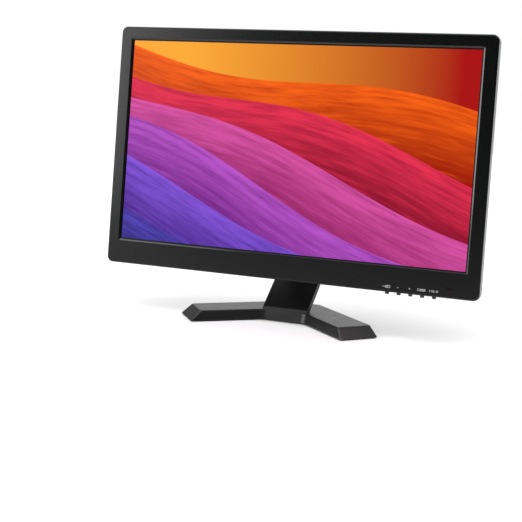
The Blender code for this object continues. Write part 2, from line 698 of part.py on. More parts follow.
# ---------------------------------------------------------------- keys and the remote's receiver
def make_keys(head, at):
    """One board with five push switches soldered under it, and a button for each."""
    first = BUTTON_FIRST_X
    last = first + (len(BUTTON_NAMES) - 1) * BUTTON_PITCH
    board = new_box((first - 0.009, 0.0022, KEY_BOARD_Z), (last + 0.009, 0.0100, KEY_BOARD_Z + 0.0012))
    board = add_object("key_board", board, "circuit_board", head, at)
    switch_low = KEY_BOARD_Z - SWITCH_HEIGHT
    bodies, wells = bmesh.new(), bmesh.new()
    for i, word in enumerate(BUTTON_NAMES):
        x = first + i * BUTTON_PITCH
        box(bodies, (x - 0.0031, BUTTON_DEPTH - 0.0029, switch_low),
            (x + 0.0031, BUTTON_DEPTH + 0.0029, KEY_BOARD_Z + 0.0004))
        well_top = KEY_BOARD_Z - 0.0008
        rod(wells, 0.0017, (x, BUTTON_DEPTH, switch_low - 0.001), (x, BUTTON_DEPTH, well_top), 12)
        make_button(word, x, switch_low, head, at)
    boolean(board, add_tool("switch_bodies", bodies, head, at), "UNION")
    boolean(board, add_tool("switch_wells", wells, head, at))


def make_button(word, x, switch_low, head, at):
    """A cap with a rounded end below the case, a flange inside, and a stem into its switch.

    Its origin is on the line that it is pressed along.
    """
    half_x, half_y = BUTTON_WIDTH / 2, BUTTON_THICKNESS / 2

    def section(grow, height):
        """Outline across the button, as a loop at one height."""
        loop = rectangle(-half_x - grow, half_x + grow, -half_y - grow, half_y + grow, 0.0010, 0, 3)
        return [Vector((p.x, p.z, height)) for p in loop]

    flange, flange_low = 0.0008, WALL + GAP
    skin = [
        section(-0.0010, -BUTTON_DROP), section(-0.0004, -BUTTON_DROP + 0.0003),
        section(0, -BUTTON_DROP + 0.0010), section(0, flange_low),
        section(flange, flange_low), section(flange, flange_low + flange),
    ]
    place = at + Vector((x, BUTTON_DEPTH, 0))
    button = add_object("button_" + word, loft(bmesh.new(), skin), "button_plastic", head, place)
    stem = rod(bmesh.new(), 0.0013, (0, 0, WALL), (0, 0, switch_low + 0.0016), 12)
    boolean(button, add_tool("stem_" + word, stem, head, place), "UNION")


def make_receiver(head, at):
    """A smoked window in the bezel, and the receiver behind it."""
    x, z = IR_WINDOW
    window = new_box((x - 0.0023, 0.0001, z - 0.0011), (x + 0.0023, FACE_WALL + 0.0004, z + 0.0011))
    add_object("ir_window", window, "window_plastic", head, at)
    receiver = new_box((x - 0.0026, 0.0034, z - 0.0030), (x + 0.0026, 0.0068, z + 0.0030))
    dome = rod(bmesh.new(), 0.0017, (x, 0.0026, z), (x, 0.0040, z), 12)
    receiver = add_object("ir_receiver", receiver, "black_moulding", head, at)
    boolean(receiver, add_tool("receiver_lens", dome, head, at), "UNION")


# ---------------------------------------------------------------- leads inside the case
def make_leads(head, at):
    """Round leads between the boards, the speakers and the back light, and a flat one to the panel."""
    key_board_end = BUTTON_FIRST_X - 0.0085
    cable("key_cable", [(0.060, 0.0366, 0.086), (0.068, 0.0366, 0.086), (0.0765, 0.0330, 0.084),
                        (0.081, 0.0265, 0.078), (0.090, 0.0240, 0.060), (0.104, 0.0225, 0.030),
                        (0.110, 0.0165, 0.0150), (key_board_end, 0.0132, 0.0125)], 0.0022, head, at)
    cable("backlight_cable", [(-0.1355, 0.0368, 0.088), (-0.1424, 0.0352, 0.087), (-0.1452, 0.0270, 0.084),
                              (-0.1600, 0.0240, 0.074), (-0.1692, 0.0215, 0.050), (-0.1692, 0.0190, 0.030),
                              (-0.1692, 0.0130, 0.0150), (-0.1690, 0.0085, 0.0118)], 0.0018, head, at)
    cable("speaker_cable_left", [(-0.1355, 0.0368, 0.112), (-0.1424, 0.0352, 0.112),
                                 (-0.1452, 0.0270, 0.110), (-0.1700, 0.0240, 0.103),
                                 (-0.1850, 0.0215, 0.093), (-0.1887, 0.0160, 0.0828)], 0.0018, head, at)
    cable("speaker_cable_right", [(0.060, 0.0364, 0.112), (0.076, 0.0355, 0.1115),
                                  (0.110, 0.0265, 0.108), (0.170, 0.0240, 0.100),
                                  (0.1887, 0.0190, 0.090), (0.1887, 0.0160, 0.0828)], 0.0018, head, at)
    on_board = BOARD_BACK + GAP + 0.0004
    corners = [(on_board, 0.1240), (on_board, 0.1500), (0.0230, 0.1900), (0.0230, 0.2380),
               (0.0126, 0.2420), (0.0126, 0.2428)]
    ribbon = bent_path(corners, [0.006, 0.006, 0.003, 0.0003], 4)
    outline = [(p.x, p.y) for p in band(ribbon, -0.00025, 0.00025)]
    add_object("signal_cable", prism(bmesh.new(), outline, -0.0100, 0.0100), "ribbon", head, at)


# ---------------------------------------------------------------- case screws
def make_case_screws(head, at):
    """Four screws hold the rear cover, and four hold the hinge leaf through it."""
    profile = [(0, -0.0090), (0.0015, -0.0090), (0.0015, 0), (0.0029, 0), (0.0029, 0.0010),
               (0.0020, 0.0017), (0, 0.0018)]
    leaf_face = BACK_PLANE + GAP + LEAF_THICKNESS
    sets = (("cover_screw", COVER_SCREWS, BACK_PLANE), ("hinge_screw", LEAF_SCREWS, leaf_face))
    for name, places, face in sets:
        for i, (x, z) in enumerate(places, 1):
            place = Matrix.Translation((x, face + GAP, z)) @ BACKWARD
            add_object(f"{name}_{i}", turned(bmesh.new(), profile, 16, place), "screw_steel", head, at)


# ---------------------------------------------------------------- tilt hinge
LEAF_THICKNESS = 0.0020
HINGE_EARS = (0.0140, 0.0165)     # neck side, each side of the middle
WASHER_SPAN = (0.0168, 0.0178)
LEAF_EARS = (0.0181, 0.0206)      # head side


def ear_outline(axis_y, axis_z, foot, low, high, steps=12):
    """A rounded ear about an axis, tapering to a foot line at y = foot from low to high."""
    points = [(foot, low)]
    for i in range(steps + 1):
        angle = math.radians(-100 + 200 * i / steps)
        points.append((axis_y + EAR_RADIUS * math.cos(angle), axis_z + EAR_RADIUS * math.sin(angle)))
    return [*points, (foot, high)]


def make_hinge_leaf(head, at):
    """A plate on the back of the case, with two ears for the shaft."""
    face = BACK_PLANE + GAP
    plate = new_box((-0.0320, face, 0.0300), (0.0320, face + LEAF_THICKNESS, 0.0600))
    leaf = add_object("hinge_leaf", plate, "steel", head, at)
    ears = bmesh.new()
    outline = ear_outline(HINGE_DEPTH, HINGE_HEIGHT, face + 0.001, 0.0320, 0.0540)
    for side in (-1, 1):
        low, high = sorted((side * LEAF_EARS[0], side * LEAF_EARS[1]))
        prism(ears, outline, low, high)
    boolean(leaf, add_tool("leaf_ears", ears, head, at), "UNION")
    bore = bmesh.new()
    rod(bore, SHAFT_HOLE, (-0.030, HINGE_DEPTH, HINGE_HEIGHT), (0.030, HINGE_DEPTH, HINGE_HEIGHT), 24)
    for x, z in LEAF_SCREWS:
        rod(bore, 0.0018, (x, face - 0.001, z), (x, face + 0.004, z), 16)
    boolean(leaf, add_tool("leaf_bore", bore, head, at))


def neck_path(bottom, top):
    """Side view of the neck's middle: up out of the base, back at a lean, then up to the hinge."""
    run = HINGE_Y - NECK_ROOT_Y
    knee = NECK_BEND_Z + run / math.tan(NECK_LEAN)
    corners = [(NECK_ROOT_Y, bottom), (NECK_ROOT_Y, NECK_BEND_Z), (HINGE_Y, knee), (HINGE_Y, top)]
    return bent_path(corners, [0.006, 0.018], 7)


def make_neck():
    """The steel strap, with a foot under the base's cover and two ears at the hinge."""
    corners = [(NECK_ROOT_Y + 0.030, 0.0060), (NECK_ROOT_Y, 0.0060), (NECK_ROOT_Y, 0.0074)]
    foot = bent_path(corners, [0.0013], 3)
    path = foot[:-1] + neck_path(0.0074, HINGE_Z - 0.006)[1:]
    half = STRAP_THICKNESS / 2
    outline = [(p.x, p.y) for p in band(path, -half, half)]
    strap = prism(bmesh.new(), outline, -STRAP_HALF_WIDTH, STRAP_HALF_WIDTH)
    strap = add_object("neck_bracket", strap, "steel")
    ears = bmesh.new()
    outline = [(HINGE_Y - 0.0012, HINGE_Z - 0.0140), (HINGE_Y + 0.0012, HINGE_Z - 0.0140)]
    for i in range(13):
        angle = math.radians(-30 + 240 * i / 12)
        outline.append((HINGE_Y + EAR_RADIUS * math.cos(angle), HINGE_Z + EAR_RADIUS * math.sin(angle)))
    for side in (-1, 1):
        low, high = sorted((side * HINGE_EARS[0], side * HINGE_EARS[1]))
        prism(ears, outline, low, high)
    boolean(strap, add_tool("bracket_ears", ears), "UNION")
    gap = new_box((-HINGE_EARS[0], HINGE_Y - 0.012, HINGE_Z - 0.0065),
                  (HINGE_EARS[0], HINGE_Y + 0.012, HINGE_Z + 0.012))
    boolean(strap, add_tool("bracket_gap", gap))
    bore = rod(bmesh.new(), SHAFT_HOLE, (-0.030, HINGE_Y, HINGE_Z), (0.030, HINGE_Y, HINGE_Z), 24)
    for x in (-BASE_SCREW_X, BASE_SCREW_X):
        rod(bore, 0.0022, (x, BASE_SCREW_Y, 0), (x, BASE_SCREW_Y, 0.010), 16)
    boolean(strap, add_tool("bracket_bores", bore))


def hood_arc(radius):
    """The round top of the rear cover, from above the hinge back and down onto the neck."""
    steps = 14
    angles = [math.radians(88 - 143 * i / steps) for i in range(steps + 1)]
    return [Vector((HINGE_Y + radius * math.cos(a), HINGE_Z + radius * math.sin(a))) for a in angles]


def make_neck_covers():
    """Two plastic half shells round the strap. The rear one ends in a hood over the hinge."""
    half = NECK_THICKNESS / 2
    path = neck_path(NECK_COVER_BOTTOM, NECK_COVER_TOP)
    cavity_path = neck_path(NECK_COVER_BOTTOM - 0.002, NECK_COVER_TOP + 0.002)
    room = STRAP_THICKNESS / 2 + 0.0004
    inner_half = NECK_HALF_WIDTH - WALL

    skin = prism(bmesh.new(), band(path, -GAP / 2, -half), -NECK_HALF_WIDTH, NECK_HALF_WIDTH)
    front = add_object("neck_front_cover", skin, "stand_plastic")
    bevel(front, 0.0010, 2, 60)
    hollow = prism(bmesh.new(), band(cavity_path, 0.001, -room), -inner_half, inner_half)
    boolean(front, add_tool("neck_front_hollow", hollow))

    skin = beside(path, GAP / 2) + [Vector((HINGE_Y + GAP / 2, HINGE_Z + HOOD_RADIUS - 0.0010))]
    skin += hood_arc(HOOD_RADIUS) + beside(path, half)[::-1]
    rear = prism(bmesh.new(), skin, -NECK_HALF_WIDTH, NECK_HALF_WIDTH)
    rear = add_object("neck_rear_cover", rear, "stand_plastic")
    bevel(rear, 0.0010, 2, 60)
    hollow = beside(cavity_path, -0.001)
    hollow.append(Vector((HINGE_Y - 0.001, HINGE_Z + HOOD_RADIUS - WALL - 0.0004)))
    hollow += hood_arc(HOOD_RADIUS - WALL) + beside(cavity_path, room)[::-1]
    boolean(rear, add_tool("neck_rear_hollow", prism(bmesh.new(), hollow, -inner_half, inner_half)))


def make_hinge_parts():
    """The shaft with its head, two spring washers and the nut that sets the friction."""
    place = Matrix.Translation((0, HINGE_Y, HINGE_Z)) @ SIDEWAYS
    head_span = (-0.0236, -0.0209)
    profile = [(0, head_span[0]), (0.0052, head_span[0]), (0.0055, head_span[0] + 0.0004),
               (0.0055, head_span[1]), (SHAFT_RADIUS, head_span[1]), (SHAFT_RADIUS, 0.0240), (0, 0.0240)]
    add_object("hinge_shaft", turned(bmesh.new(), profile, 24, place), "plated_steel")
    bore = SHAFT_HOLE + 0.0001
    for name, low, high in (("hinge_washer_left", -WASHER_SPAN[1], -WASHER_SPAN[0]),
                            ("hinge_washer_right", WASHER_SPAN[0], WASHER_SPAN[1])):
        ring = [(bore, low), (0.0068, low), (0.0070, (low + high) / 2), (0.0068, high), (bore, high)]
        add_object(name, turned(bmesh.new(), ring, 20, place), "plated_steel")
    nut = bmesh.new()
    turned(nut, [(0.0032, 0.0209), (0.0058, 0.0209), (0.0058, 0.0238), (0.0032, 0.0238)], 6, place)
    nut = add_object("hinge_nut", nut, "plated_steel")
    opening = rod(bmesh.new(), bore, (0.020, HINGE_Y, HINGE_Z), (0.025, HINGE_Y, HINGE_Z), 24)
    boolean(nut, add_tool("nut_bore", opening))


# ---------------------------------------------------------------- base
def base_corners(end, front, back):
    """Right-hand corners of the base's outline, pulled in at its ends, front and back."""
    along = Vector((math.cos(LEG_ANGLE), -math.sin(LEG_ANGLE)))
    across = Vector((math.sin(LEG_ANGLE), math.cos(LEG_ANGLE)))
    notch = Vector((BASE_NOTCH_X, BASE_NOTCH_Y))
    length = (BASE_HALF_DEPTH + BASE_NOTCH_Y) / math.sin(LEG_ANGLE)
    tip = notch + along * (length - end)
    toe_front = tip + across * front
    toe_back = tip + across * (LEG_WIDTH - back)
    rear_y = BASE_REAR_Y - back
    rear = toe_back - along * ((rear_y - toe_back.y) / math.sin(LEG_ANGLE))
    run = (BASE_NOTCH_Y + front - toe_front.y) / math.sin(LEG_ANGLE)
    inner = toe_front - along * run
    return toe_front, toe_back, rear, inner


def base_outline(end, front, back, height, round_notch=0.014):
    """The whole outline, as a loop of points: a chevron with a straight middle."""
    toe_front, toe_back, rear, inner = base_corners(end, front, back)
    middle = Vector((0, inner.y))
    right = bent_path([toe_back, toe_front, inner, middle], [0.0016, round_notch], 4)[:-1]
    far = bent_path([Vector((0, rear.y)), rear, toe_back, toe_front], [0.0060, 0.0016], 4)[1:-1]
    half = [*far, *right[1:]]
    loop = [Vector((p.x, p.y, height)) for p in half]
    return loop + [Vector((-p.x, p.y, p.z)) for p in reversed(loop)]


def tidy(loop):
    """Drops points that repeat."""
    kept = []
    for p in loop:
        if not kept or (p - kept[-1]).length > 1e-5:
            kept.append(p)
    return kept


def make_base():
    end, front, back = BASE_END_DRAFT, BASE_FRONT_DRAFT, BASE_BACK_DRAFT
    skin = [
        base_outline(0, 0, 0, BASE_RIM),
        base_outline(0.0008, 0.0001, 0.0001, BASE_RIM + 0.0012),
        base_outline(end - 0.0012, front - 0.0006, back - 0.0006, BASE_TOP - 0.0010),
        base_outline(end - 0.0003, front, back, BASE_TOP - 0.0003),
        base_outline(end + 0.0008, front + 0.0010, back + 0.0010, BASE_TOP),
    ]
    cover = add_object("base_cover", loft(bmesh.new(), [tidy(s) for s in skin]), "stand_plastic")
    wall, roof = BASE_WALL, BASE_TOP - BASE_WALL
    hollow = [
        base_outline(wall + 0.0004, wall, wall, 0, 0.0165),
        base_outline(wall + 0.0012, wall, wall, BASE_RIM + 0.0004, 0.0165),
        base_outline(end + wall, front + wall, back + wall, roof, 0.0165),
    ]
    boolean(cover, add_tool("base_hollow", loft(bmesh.new(), [tidy(s) for s in hollow])))
    clearance = 0.0004
    path = neck_path(0, NECK_COVER_TOP)
    reach = NECK_THICKNESS / 2 + clearance
    outline = [(p.x, p.y) for p in band(path, -reach, reach)]
    half = NECK_HALF_WIDTH + clearance
    boolean(cover, add_tool("neck_slot", prism(bmesh.new(), outline, -half, half)))

    make_base_plate(wall)
    make_base_screws()
    make_feet()


def make_base_plate(wall):
    """A steel weight inside the cover."""
    inset = wall + 0.0016
    skin = [base_outline(wall + 0.0055, inset, inset, height, 0.017) for height in (0.0014, 0.0044)]
    plate = add_object("base_plate", loft(bmesh.new(), [tidy(s) for s in skin]), "steel")
    holes = bmesh.new()
    for x in (-BASE_SCREW_X, BASE_SCREW_X):
        rod(holes, 0.0022, (x, BASE_SCREW_Y, 0), (x, BASE_SCREW_Y, 0.006), 16)
    boolean(plate, add_tool("plate_holes", holes))


def make_base_screws():
    """Two screws through the plate and the neck's foot."""
    profile = [(0, 0.0003), (0.0030, 0.0003), (0.0034, 0.0006), (0.0034, 0.0011), (0.0020, 0.0011),
               (0.0020, 0.0085), (0, 0.0085)]
    for i, x in enumerate((-BASE_SCREW_X, BASE_SCREW_X), 1):
        place = Matrix.Translation((x, BASE_SCREW_Y, 0))
        add_object(f"base_screw_{i}", turned(bmesh.new(), profile, 16, place), "screw_steel")


def make_feet():
    profile = [(0, 0), (0.0056, 0), (0.0060, 0.0003), (0.0060, 0.0011), (0, 0.0011)]
    for i, (x, y) in enumerate(FOOT_PLACES, 1):
        foot = turned(bmesh.new(), profile, 24, Matrix.Translation((x, y, 0)))
        add_object(f"rubber_foot_{i}", foot, "rubber")


# ---------------------------------------------------------------- the whole television
def make_head():
    axis = bpy.data.objects.new("tilt_axis", None)
    bpy.context.scene.collection.objects.link(axis)
    axis.location = (0, HINGE_Y, HINGE_Z)
    axis.rotation_euler = (-TILT, 0, 0)
    at = Vector((0, -HINGE_DEPTH, -HINGE_HEIGHT))
    make_front_bezel(axis, at)
    make_rear_cover(axis, at)
    make_panel_module(axis, at)
    make_chassis(axis, at)
    make_main_board(axis, at)
    make_sockets(axis, at)
    make_speakers(axis, at)
    make_keys(axis, at)
    make_receiver(axis, at)
    make_leads(axis, at)
    make_case_screws(axis, at)
    make_hinge_leaf(axis, at)


clear_scene()
MATERIALS = make_materials()
make_head()
make_neck()
make_neck_covers()
make_hinge_parts()
make_base()
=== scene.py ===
"""Looks of the portable television: fine shells, a lit picture and a material for every piece.

The frame gives every place and size. Pieces of the head are drawn in the head's own frame: x across,
y back from the face, z up along the face. The stand's pieces are drawn in the desk's frame.
"""

import json
import math

import bmesh
import bpy
from mathutils import Matrix, Vector


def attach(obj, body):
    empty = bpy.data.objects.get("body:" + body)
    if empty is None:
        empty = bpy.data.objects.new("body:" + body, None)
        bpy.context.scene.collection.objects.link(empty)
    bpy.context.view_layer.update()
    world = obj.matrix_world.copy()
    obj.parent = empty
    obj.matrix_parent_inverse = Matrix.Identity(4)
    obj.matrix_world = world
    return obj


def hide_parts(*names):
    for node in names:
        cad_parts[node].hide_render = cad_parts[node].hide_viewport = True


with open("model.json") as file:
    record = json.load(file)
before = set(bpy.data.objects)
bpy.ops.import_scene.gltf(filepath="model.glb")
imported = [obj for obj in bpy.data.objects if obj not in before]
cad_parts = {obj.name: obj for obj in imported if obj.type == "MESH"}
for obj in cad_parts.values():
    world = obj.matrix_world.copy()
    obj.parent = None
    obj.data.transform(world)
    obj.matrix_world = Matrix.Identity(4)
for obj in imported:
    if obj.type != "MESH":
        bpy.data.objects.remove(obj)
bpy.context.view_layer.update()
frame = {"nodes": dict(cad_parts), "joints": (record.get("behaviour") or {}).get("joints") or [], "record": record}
NODES = frame["nodes"]

# ---------------------------------------------------------------- the head's frame
PRESS_AXIS = next(j for j in frame["joints"] if j["name"] == "press_power")["axis"]
LEAN = Matrix.Rotation(-math.atan2(PRESS_AXIS[1], PRESS_AXIS[2]), 4, "X")


def node_points(node, place):
    """The corners of a CAD node's mesh, in the frame that place gives."""
    to_local = place.inverted()
    return [to_local @ v.co for v in NODES[node].data.vertices]


def node_box(node, place):
    """Lowest and highest corner of a CAD node's box."""
    points = node_points(node, place)
    low = Vector(min(p[i] for p in points) for i in range(3))
    high = Vector(max(p[i] for p in points) for i in range(3))
    return low, high


def head_frame():
    """Its origin is at the bottom middle of the front bezel's face."""
    low, _ = node_box("front_bezel", LEAN)
    return Matrix.Translation(LEAN @ Vector((0, low.y, low.z))) @ LEAN


HEAD = head_frame()
DESK = Matrix.Identity(4)

# ---------------------------------------------------------------- sizes in metres
_, CASE = node_box("front_bezel", HEAD)
CASE_HALF, BEZEL_DEPTH, CASE_TOP = CASE


def back_half_width(node):
    """Half the width of a CAD node at its back, in the head's frame."""
    points = node_points(node, HEAD)
    back = max(p.y for p in points)
    return max(p.x for p in points if p.y > back - 0.0002)


SIDE_DRAFT = CASE_HALF - back_half_width("front_bezel")     # how far its sides close in towards the back
PANEL_LOW, PANEL_HIGH = node_box("lcd_panel", HEAD)
BLACK_SIDE, BLACK_END = 0.0051, 0.0048      # the panel's dark edge round its lit picture
LIT_HALF = PANEL_HIGH.x - BLACK_SIDE
LIT_BOTTOM, LIT_TOP = PANEL_LOW.z + BLACK_END, PANEL_HIGH.z - BLACK_END
LIT_HEIGHT = LIT_TOP - LIT_BOTTOM
FACE_WALL = PANEL_LOW.y - 0.0003
WALL = 0.0022                     # thickness of the plastic
CORNER_RADIUS = 0.0070
CORNER_STEPS = 12
EDGE_ROUND = 0.0021               # of the bezel's outer front edge
EDGE_BREAK = 0.00025              # of its rear edge
KEYS = ("source", "down", "up", "menu", "power")
KEY_FLANGE = 0.0008               # hidden inside the case, wider than the key's cap
CLEARANCE = 0.0003                # round a piece that fills a hole or meets its neighbour


# ---------------------------------------------------------------- node tools
def colour(code, level=1.0):
    """A hex sRGB colour as linear RGBA, made lighter or darker by level."""
    parts = [int(code[i:i + 2], 16) / 255 for i in (0, 2, 4)]
    linear = [p / 12.92 if p <= 0.04045 else ((p + 0.055) / 1.055) ** 2.4 for p in parts]
    return (*[p * level for p in linear], 1.0)


class Value:
    """A socket's value, with the usual arithmetic."""

    def __init__(self, nodes, socket):
        self.nodes, self.socket = nodes, socket

    def __add__(self, other):
        return self.nodes.math("ADD", self, other)

    def __sub__(self, other):
        return self.nodes.math("SUBTRACT", self, other)

    def __rsub__(self, other):
        return self.nodes.math("SUBTRACT", other, self)

    def __mul__(self, other):
        return self.nodes.math("MULTIPLY", self, other)

    def __truediv__(self, other):
        return self.nodes.math("DIVIDE", self, other)


class Nodes:
    """Short calls that add nodes to the tree of a material or a world. Each returns a Value."""

    def __init__(self, owner):
        self.owner, self.tree = owner, owner.node_tree

    def put(self, socket, value):
        if isinstance(value, Value):
            self.tree.links.new(value.socket, socket)
        elif value is not None:
            socket.default_value = colour(value) if isinstance(value, str) else value

    def add(self, kind, values=(), output=0, **settings):
        node = self.tree.nodes.new("ShaderNode" + kind)
        for key, value in settings.items():
            setattr(node, key, value)
        named = values if isinstance(values, dict) else dict(enumerate(values))
        for key, value in named.items():
            self.put(node.inputs[key], value)
        return Value(self, node.outputs[output])

    def place(self):
        return self.add("TexCoord", output="Object")

    def math(self, operation, a, b=None):
        return self.add("Math", (a, b), operation=operation)

    def split(self, vector):
        node = self.tree.nodes.new("ShaderNodeSeparateXYZ")
        self.put(node.inputs[0], vector)
        return [Value(self, output) for output in node.outputs]

    def join(self, x, y, z=0.0):
        return self.add("CombineXYZ", (x, y, z))

    def stretch(self, vector, x, y, z):
        return self.add("VectorMath", (vector, (x, y, z)), operation="MULTIPLY")

    def mix(self, factor, a, b, blend="MIX"):
        return self.add("Mix", {0: factor, 6: a, 7: b}, output=2, data_type="RGBA", blend_type=blend)

    def span(self, value, low, high, to_low=0.0, to_high=1.0, smooth=False):
        kind = "SMOOTHSTEP" if smooth else "LINEAR"
        return self.add("MapRange", (value, low, high, to_low, to_high), interpolation_type=kind)

    def noise(self, vector, scale, detail=2.0, roughness=0.5, distortion=0.0):
        return self.add("TexNoise", {"Vector": vector, "Scale": scale, "Detail": detail,
                                     "Roughness": roughness, "Distortion": distortion})

    def cells(self, vector, scale, feature="F1"):
        return self.add("TexVoronoi", {"Vector": vector, "Scale": scale}, feature=feature)

    def bump(self, height, distance, strength=1.0):
        return self.add("Bump", {"Strength": strength, "Distance": distance, "Height": height})

    def dress(self, base, roughness=None, normal=None, others=None):
        """Drives the inputs of the Principled shader, and returns the finished material."""
        shader = self.tree.nodes["Principled BSDF"]
        looks = {"Base Color": base, "Roughness": roughness, "Normal": normal, **(others or {})}
        for key, value in looks.items():
            self.put(shader.inputs[key], value)
        return self.owner


def new_material(name, constants=None):
    """The nodes of a new material, with some inputs of its shader set to constants."""
    material = bpy.data.materials.new(name)
    material.use_nodes = True
    for key, value in (constants or {}).items():
        material.node_tree.nodes["Principled BSDF"].inputs[key].default_value = value
    return Nodes(material)


# ---------------------------------------------------------------- materials of the pieces
def plastic(name, code, roughness, grain, depth, gloss=0.5, cloud=0.035):
    """Moulded plastic: a spark-eroded grain, with slow changes of tone and gloss."""
    n = new_material(name, {"Specular IOR Level": gloss})
    place = n.place()
    slow = n.noise(place, 16.0, 3.0)
    cloudy = n.noise(place, 90.0, 3.0, 0.6)
    fine = n.noise(place, 1.0 / grain, 3.0, 0.6)
    tone = n.mix(slow, colour(code, 0.86), colour(code, 1.14))
    return n.dress(n.mix(n.span(fine, 0.45, 0.75, 0.0, 0.35), tone, colour(code, 1.7)),
                   n.span(cloudy, 0.3, 0.7, roughness - cloud, roughness + cloud), n.bump(fine, depth, 0.6))


def metal(name, code, roughness, streak=(30.0, 700.0, 700.0)):
    """Rolled or turned metal: fine streaks, cloudy tarnish and a few brighter rubs."""
    n = new_material(name, {"Metallic": 1.0})
    place = n.place()
    streaks = n.noise(n.stretch(place, *streak), 1.0, 3.0, 0.6)
    cloudy = n.noise(place, 70.0, 4.0, 0.6)
    tone = n.mix(cloudy, colour(code, 0.72), colour(code, 1.12))
    return n.dress(n.mix(n.span(streaks, 0.4, 0.75, 0.0, 0.5), tone, colour(code, 1.25)),
                   n.span(streaks, 0.25, 0.75, roughness - 0.07, roughness + 0.10),
                   n.bump(streaks, 0.00001, 0.5))


def clear_plastic(name, code, roughness):
    """Polished clear or smoked plastic, with faint flow marks."""
    n = new_material(name, {"Coat Weight": 0.6, "Coat Roughness": 0.05})
    flow = n.noise(n.stretch(n.place(), 60.0, 60.0, 200.0), 1.0, 3.0, 0.5, 0.6)
    return n.dress(n.mix(flow, colour(code, 0.8), colour(code, 1.15)),
                   n.span(flow, 0.3, 0.7, roughness, roughness + 0.06))


def circuit_board(name):
    """Green solder mask over copper runs, with tinned pads."""
    n = new_material(name)
    place = n.place()
    run = n.span(n.cells(n.stretch(place, 1.0, 1.0, 1.6), 420.0, "DISTANCE_TO_EDGE"), 0.10, 0.14)
    pads = n.span(n.cells(place, 300.0), 0.24, 0.20)
    return n.dress(n.mix(pads, n.mix(run, "1f7a45", "0f4f2c"), "c9ccc8"), n.span(pads, 0.0, 1.0, 0.34, 0.22),
                   n.bump(pads - run, 0.00004), {"Metallic": pads * 0.9})


def ribbon_cable(name):
    """Pale ribbon, with a fine line between its conductors."""
    n = new_material(name, {"Roughness": 0.42})
    place = n.place()
    x, _, _ = n.split(place)
    line = n.span(n.math("PINGPONG", x, 0.00033), 0.00006, 0.00012)
    pale = n.mix(n.noise(place, 80.0, 2.0), "d4d4cf", "e6e6e2")
    return n.dress(n.mix(line, "8f8f8c", pale), normal=n.bump(line, 0.00008))


def diffuser(name):
    """Milky sheet with a fine prismatic dot pattern."""
    n = new_material(name, {"Roughness": 0.55})
    dots = n.span(n.cells(n.place(), 900.0), 0.2, 0.5)
    return n.dress(n.mix(dots, "ffffff", "e3e4e2"), normal=n.bump(dots, 0.00003))


def rubber(name, code, roughness, grain):
    """Dull rubber or cable jacket: a soft grain and a little bloom."""
    n = new_material(name, {"Sheen Weight": 0.15, "Sheen Roughness": 0.5})
    place = n.place()
    fine = n.noise(place, 1.0 / grain, 3.0, 0.7)
    bloom = n.noise(place, 130.0, 3.0)
    return n.dress(n.mix(n.span(bloom, 0.35, 0.75), colour(code), colour(code, 1.9)),
                   n.span(fine, 0.3, 0.7, roughness - 0.06, roughness + 0.06), n.bump(fine, 0.00003, 0.7))


def printed_ink(name):
    """Pale pad-printed ink, thin in places."""
    n = new_material(name)
    thin = n.noise(n.place(), 2600.0, 3.0, 0.7)
    return n.dress(n.mix(n.span(thin, 0.35, 0.6), "a9adac", "d6d9d8"), n.span(thin, 0.3, 0.7, 0.5, 0.62))


def film_grain(n):
    """The grain of the panel's anti-glare film, and the roughness that it gives."""
    grain = n.noise(n.place(), 4200.0, 2.0, 0.6)
    return grain, n.span(grain, 0.3, 0.7, 0.30, 0.38)


def black_glass(name):
    """The panel's dark edge, under its anti-glare film."""
    n = new_material(name, {"Specular IOR Level": 0.2})
    grain, roughness = film_grain(n)
    return n.dress(n.mix(grain, "040405", "090909"), roughness, n.bump(grain, 0.000008, 0.4))


FINISHES = {                      # by slot: a kind of material, and its colour, roughness and so on
    "bezel_plastic": (plastic, "080909", 0.24, 0.00045, 0.000005, 0.31, 0.008),
    "lip_plastic": (plastic, "0c0d0d", 0.10, 0.00045, 0.000002, 0.40, 0.008),
    "back_plastic": (plastic, "181919", 0.50, 0.00060, 0.000040),
    "stand_plastic": (plastic, "141515", 0.36, 0.00045, 0.000014),
    # the neck's plastic is the stand's plastic made darker: painted shade where the head shadows the neck
    "shaded_neck_plastic": (plastic, "0b0c0c", 0.34, 0.00045, 0.000012, 0.34),
    "button_plastic": (plastic, "0e0e0e", 0.28, 0.00030, 0.000006),
    "window_plastic": (clear_plastic, "1c0508", 0.06),
    "frame_plastic": (plastic, "c9c9c4", 0.48, 0.00050, 0.000015),
    "diffuser": (diffuser,),
    "acrylic": (clear_plastic, "dfe6e8", 0.08),
    "steel": (metal, "b4b5b6", 0.34),
    "plated_steel": (metal, "c6c5c0", 0.26, (500.0, 120.0, 120.0)),
    "screw_steel": (metal, "4a4a4b", 0.36, (300.0, 300.0, 300.0)),
    "aluminium": (metal, "d6d8da", 0.30, (700.0, 700.0, 30.0)),
    "circuit_board": (circuit_board,),
    "black_moulding": (plastic, "141415", 0.44, 0.00040, 0.000015),
    "blue_moulding": (plastic, "1c4a9c", 0.40, 0.00040, 0.000012),
    "cable_jacket": (rubber, "1c1c1d", 0.52, 0.00050),
    "ribbon": (ribbon_cable,),
    "rubber": (rubber, "161616", 0.82, 0.00035),
    "key_ink": (printed_ink,),
    "panel_edge": (black_glass,),
}
MATERIALS = {slot: kind(slot, *values) for slot, (kind, *values) in FINISHES.items()}


def finish_cad_nodes():
    """Gives every CAD node the material of its slot."""
    for row in frame["record"]["subparts"]:
        material = MATERIALS.get(row["material_slot"])
        if material:
            mesh = NODES[row["node"]].data
            mesh.materials.clear()
            mesh.materials.append(material)


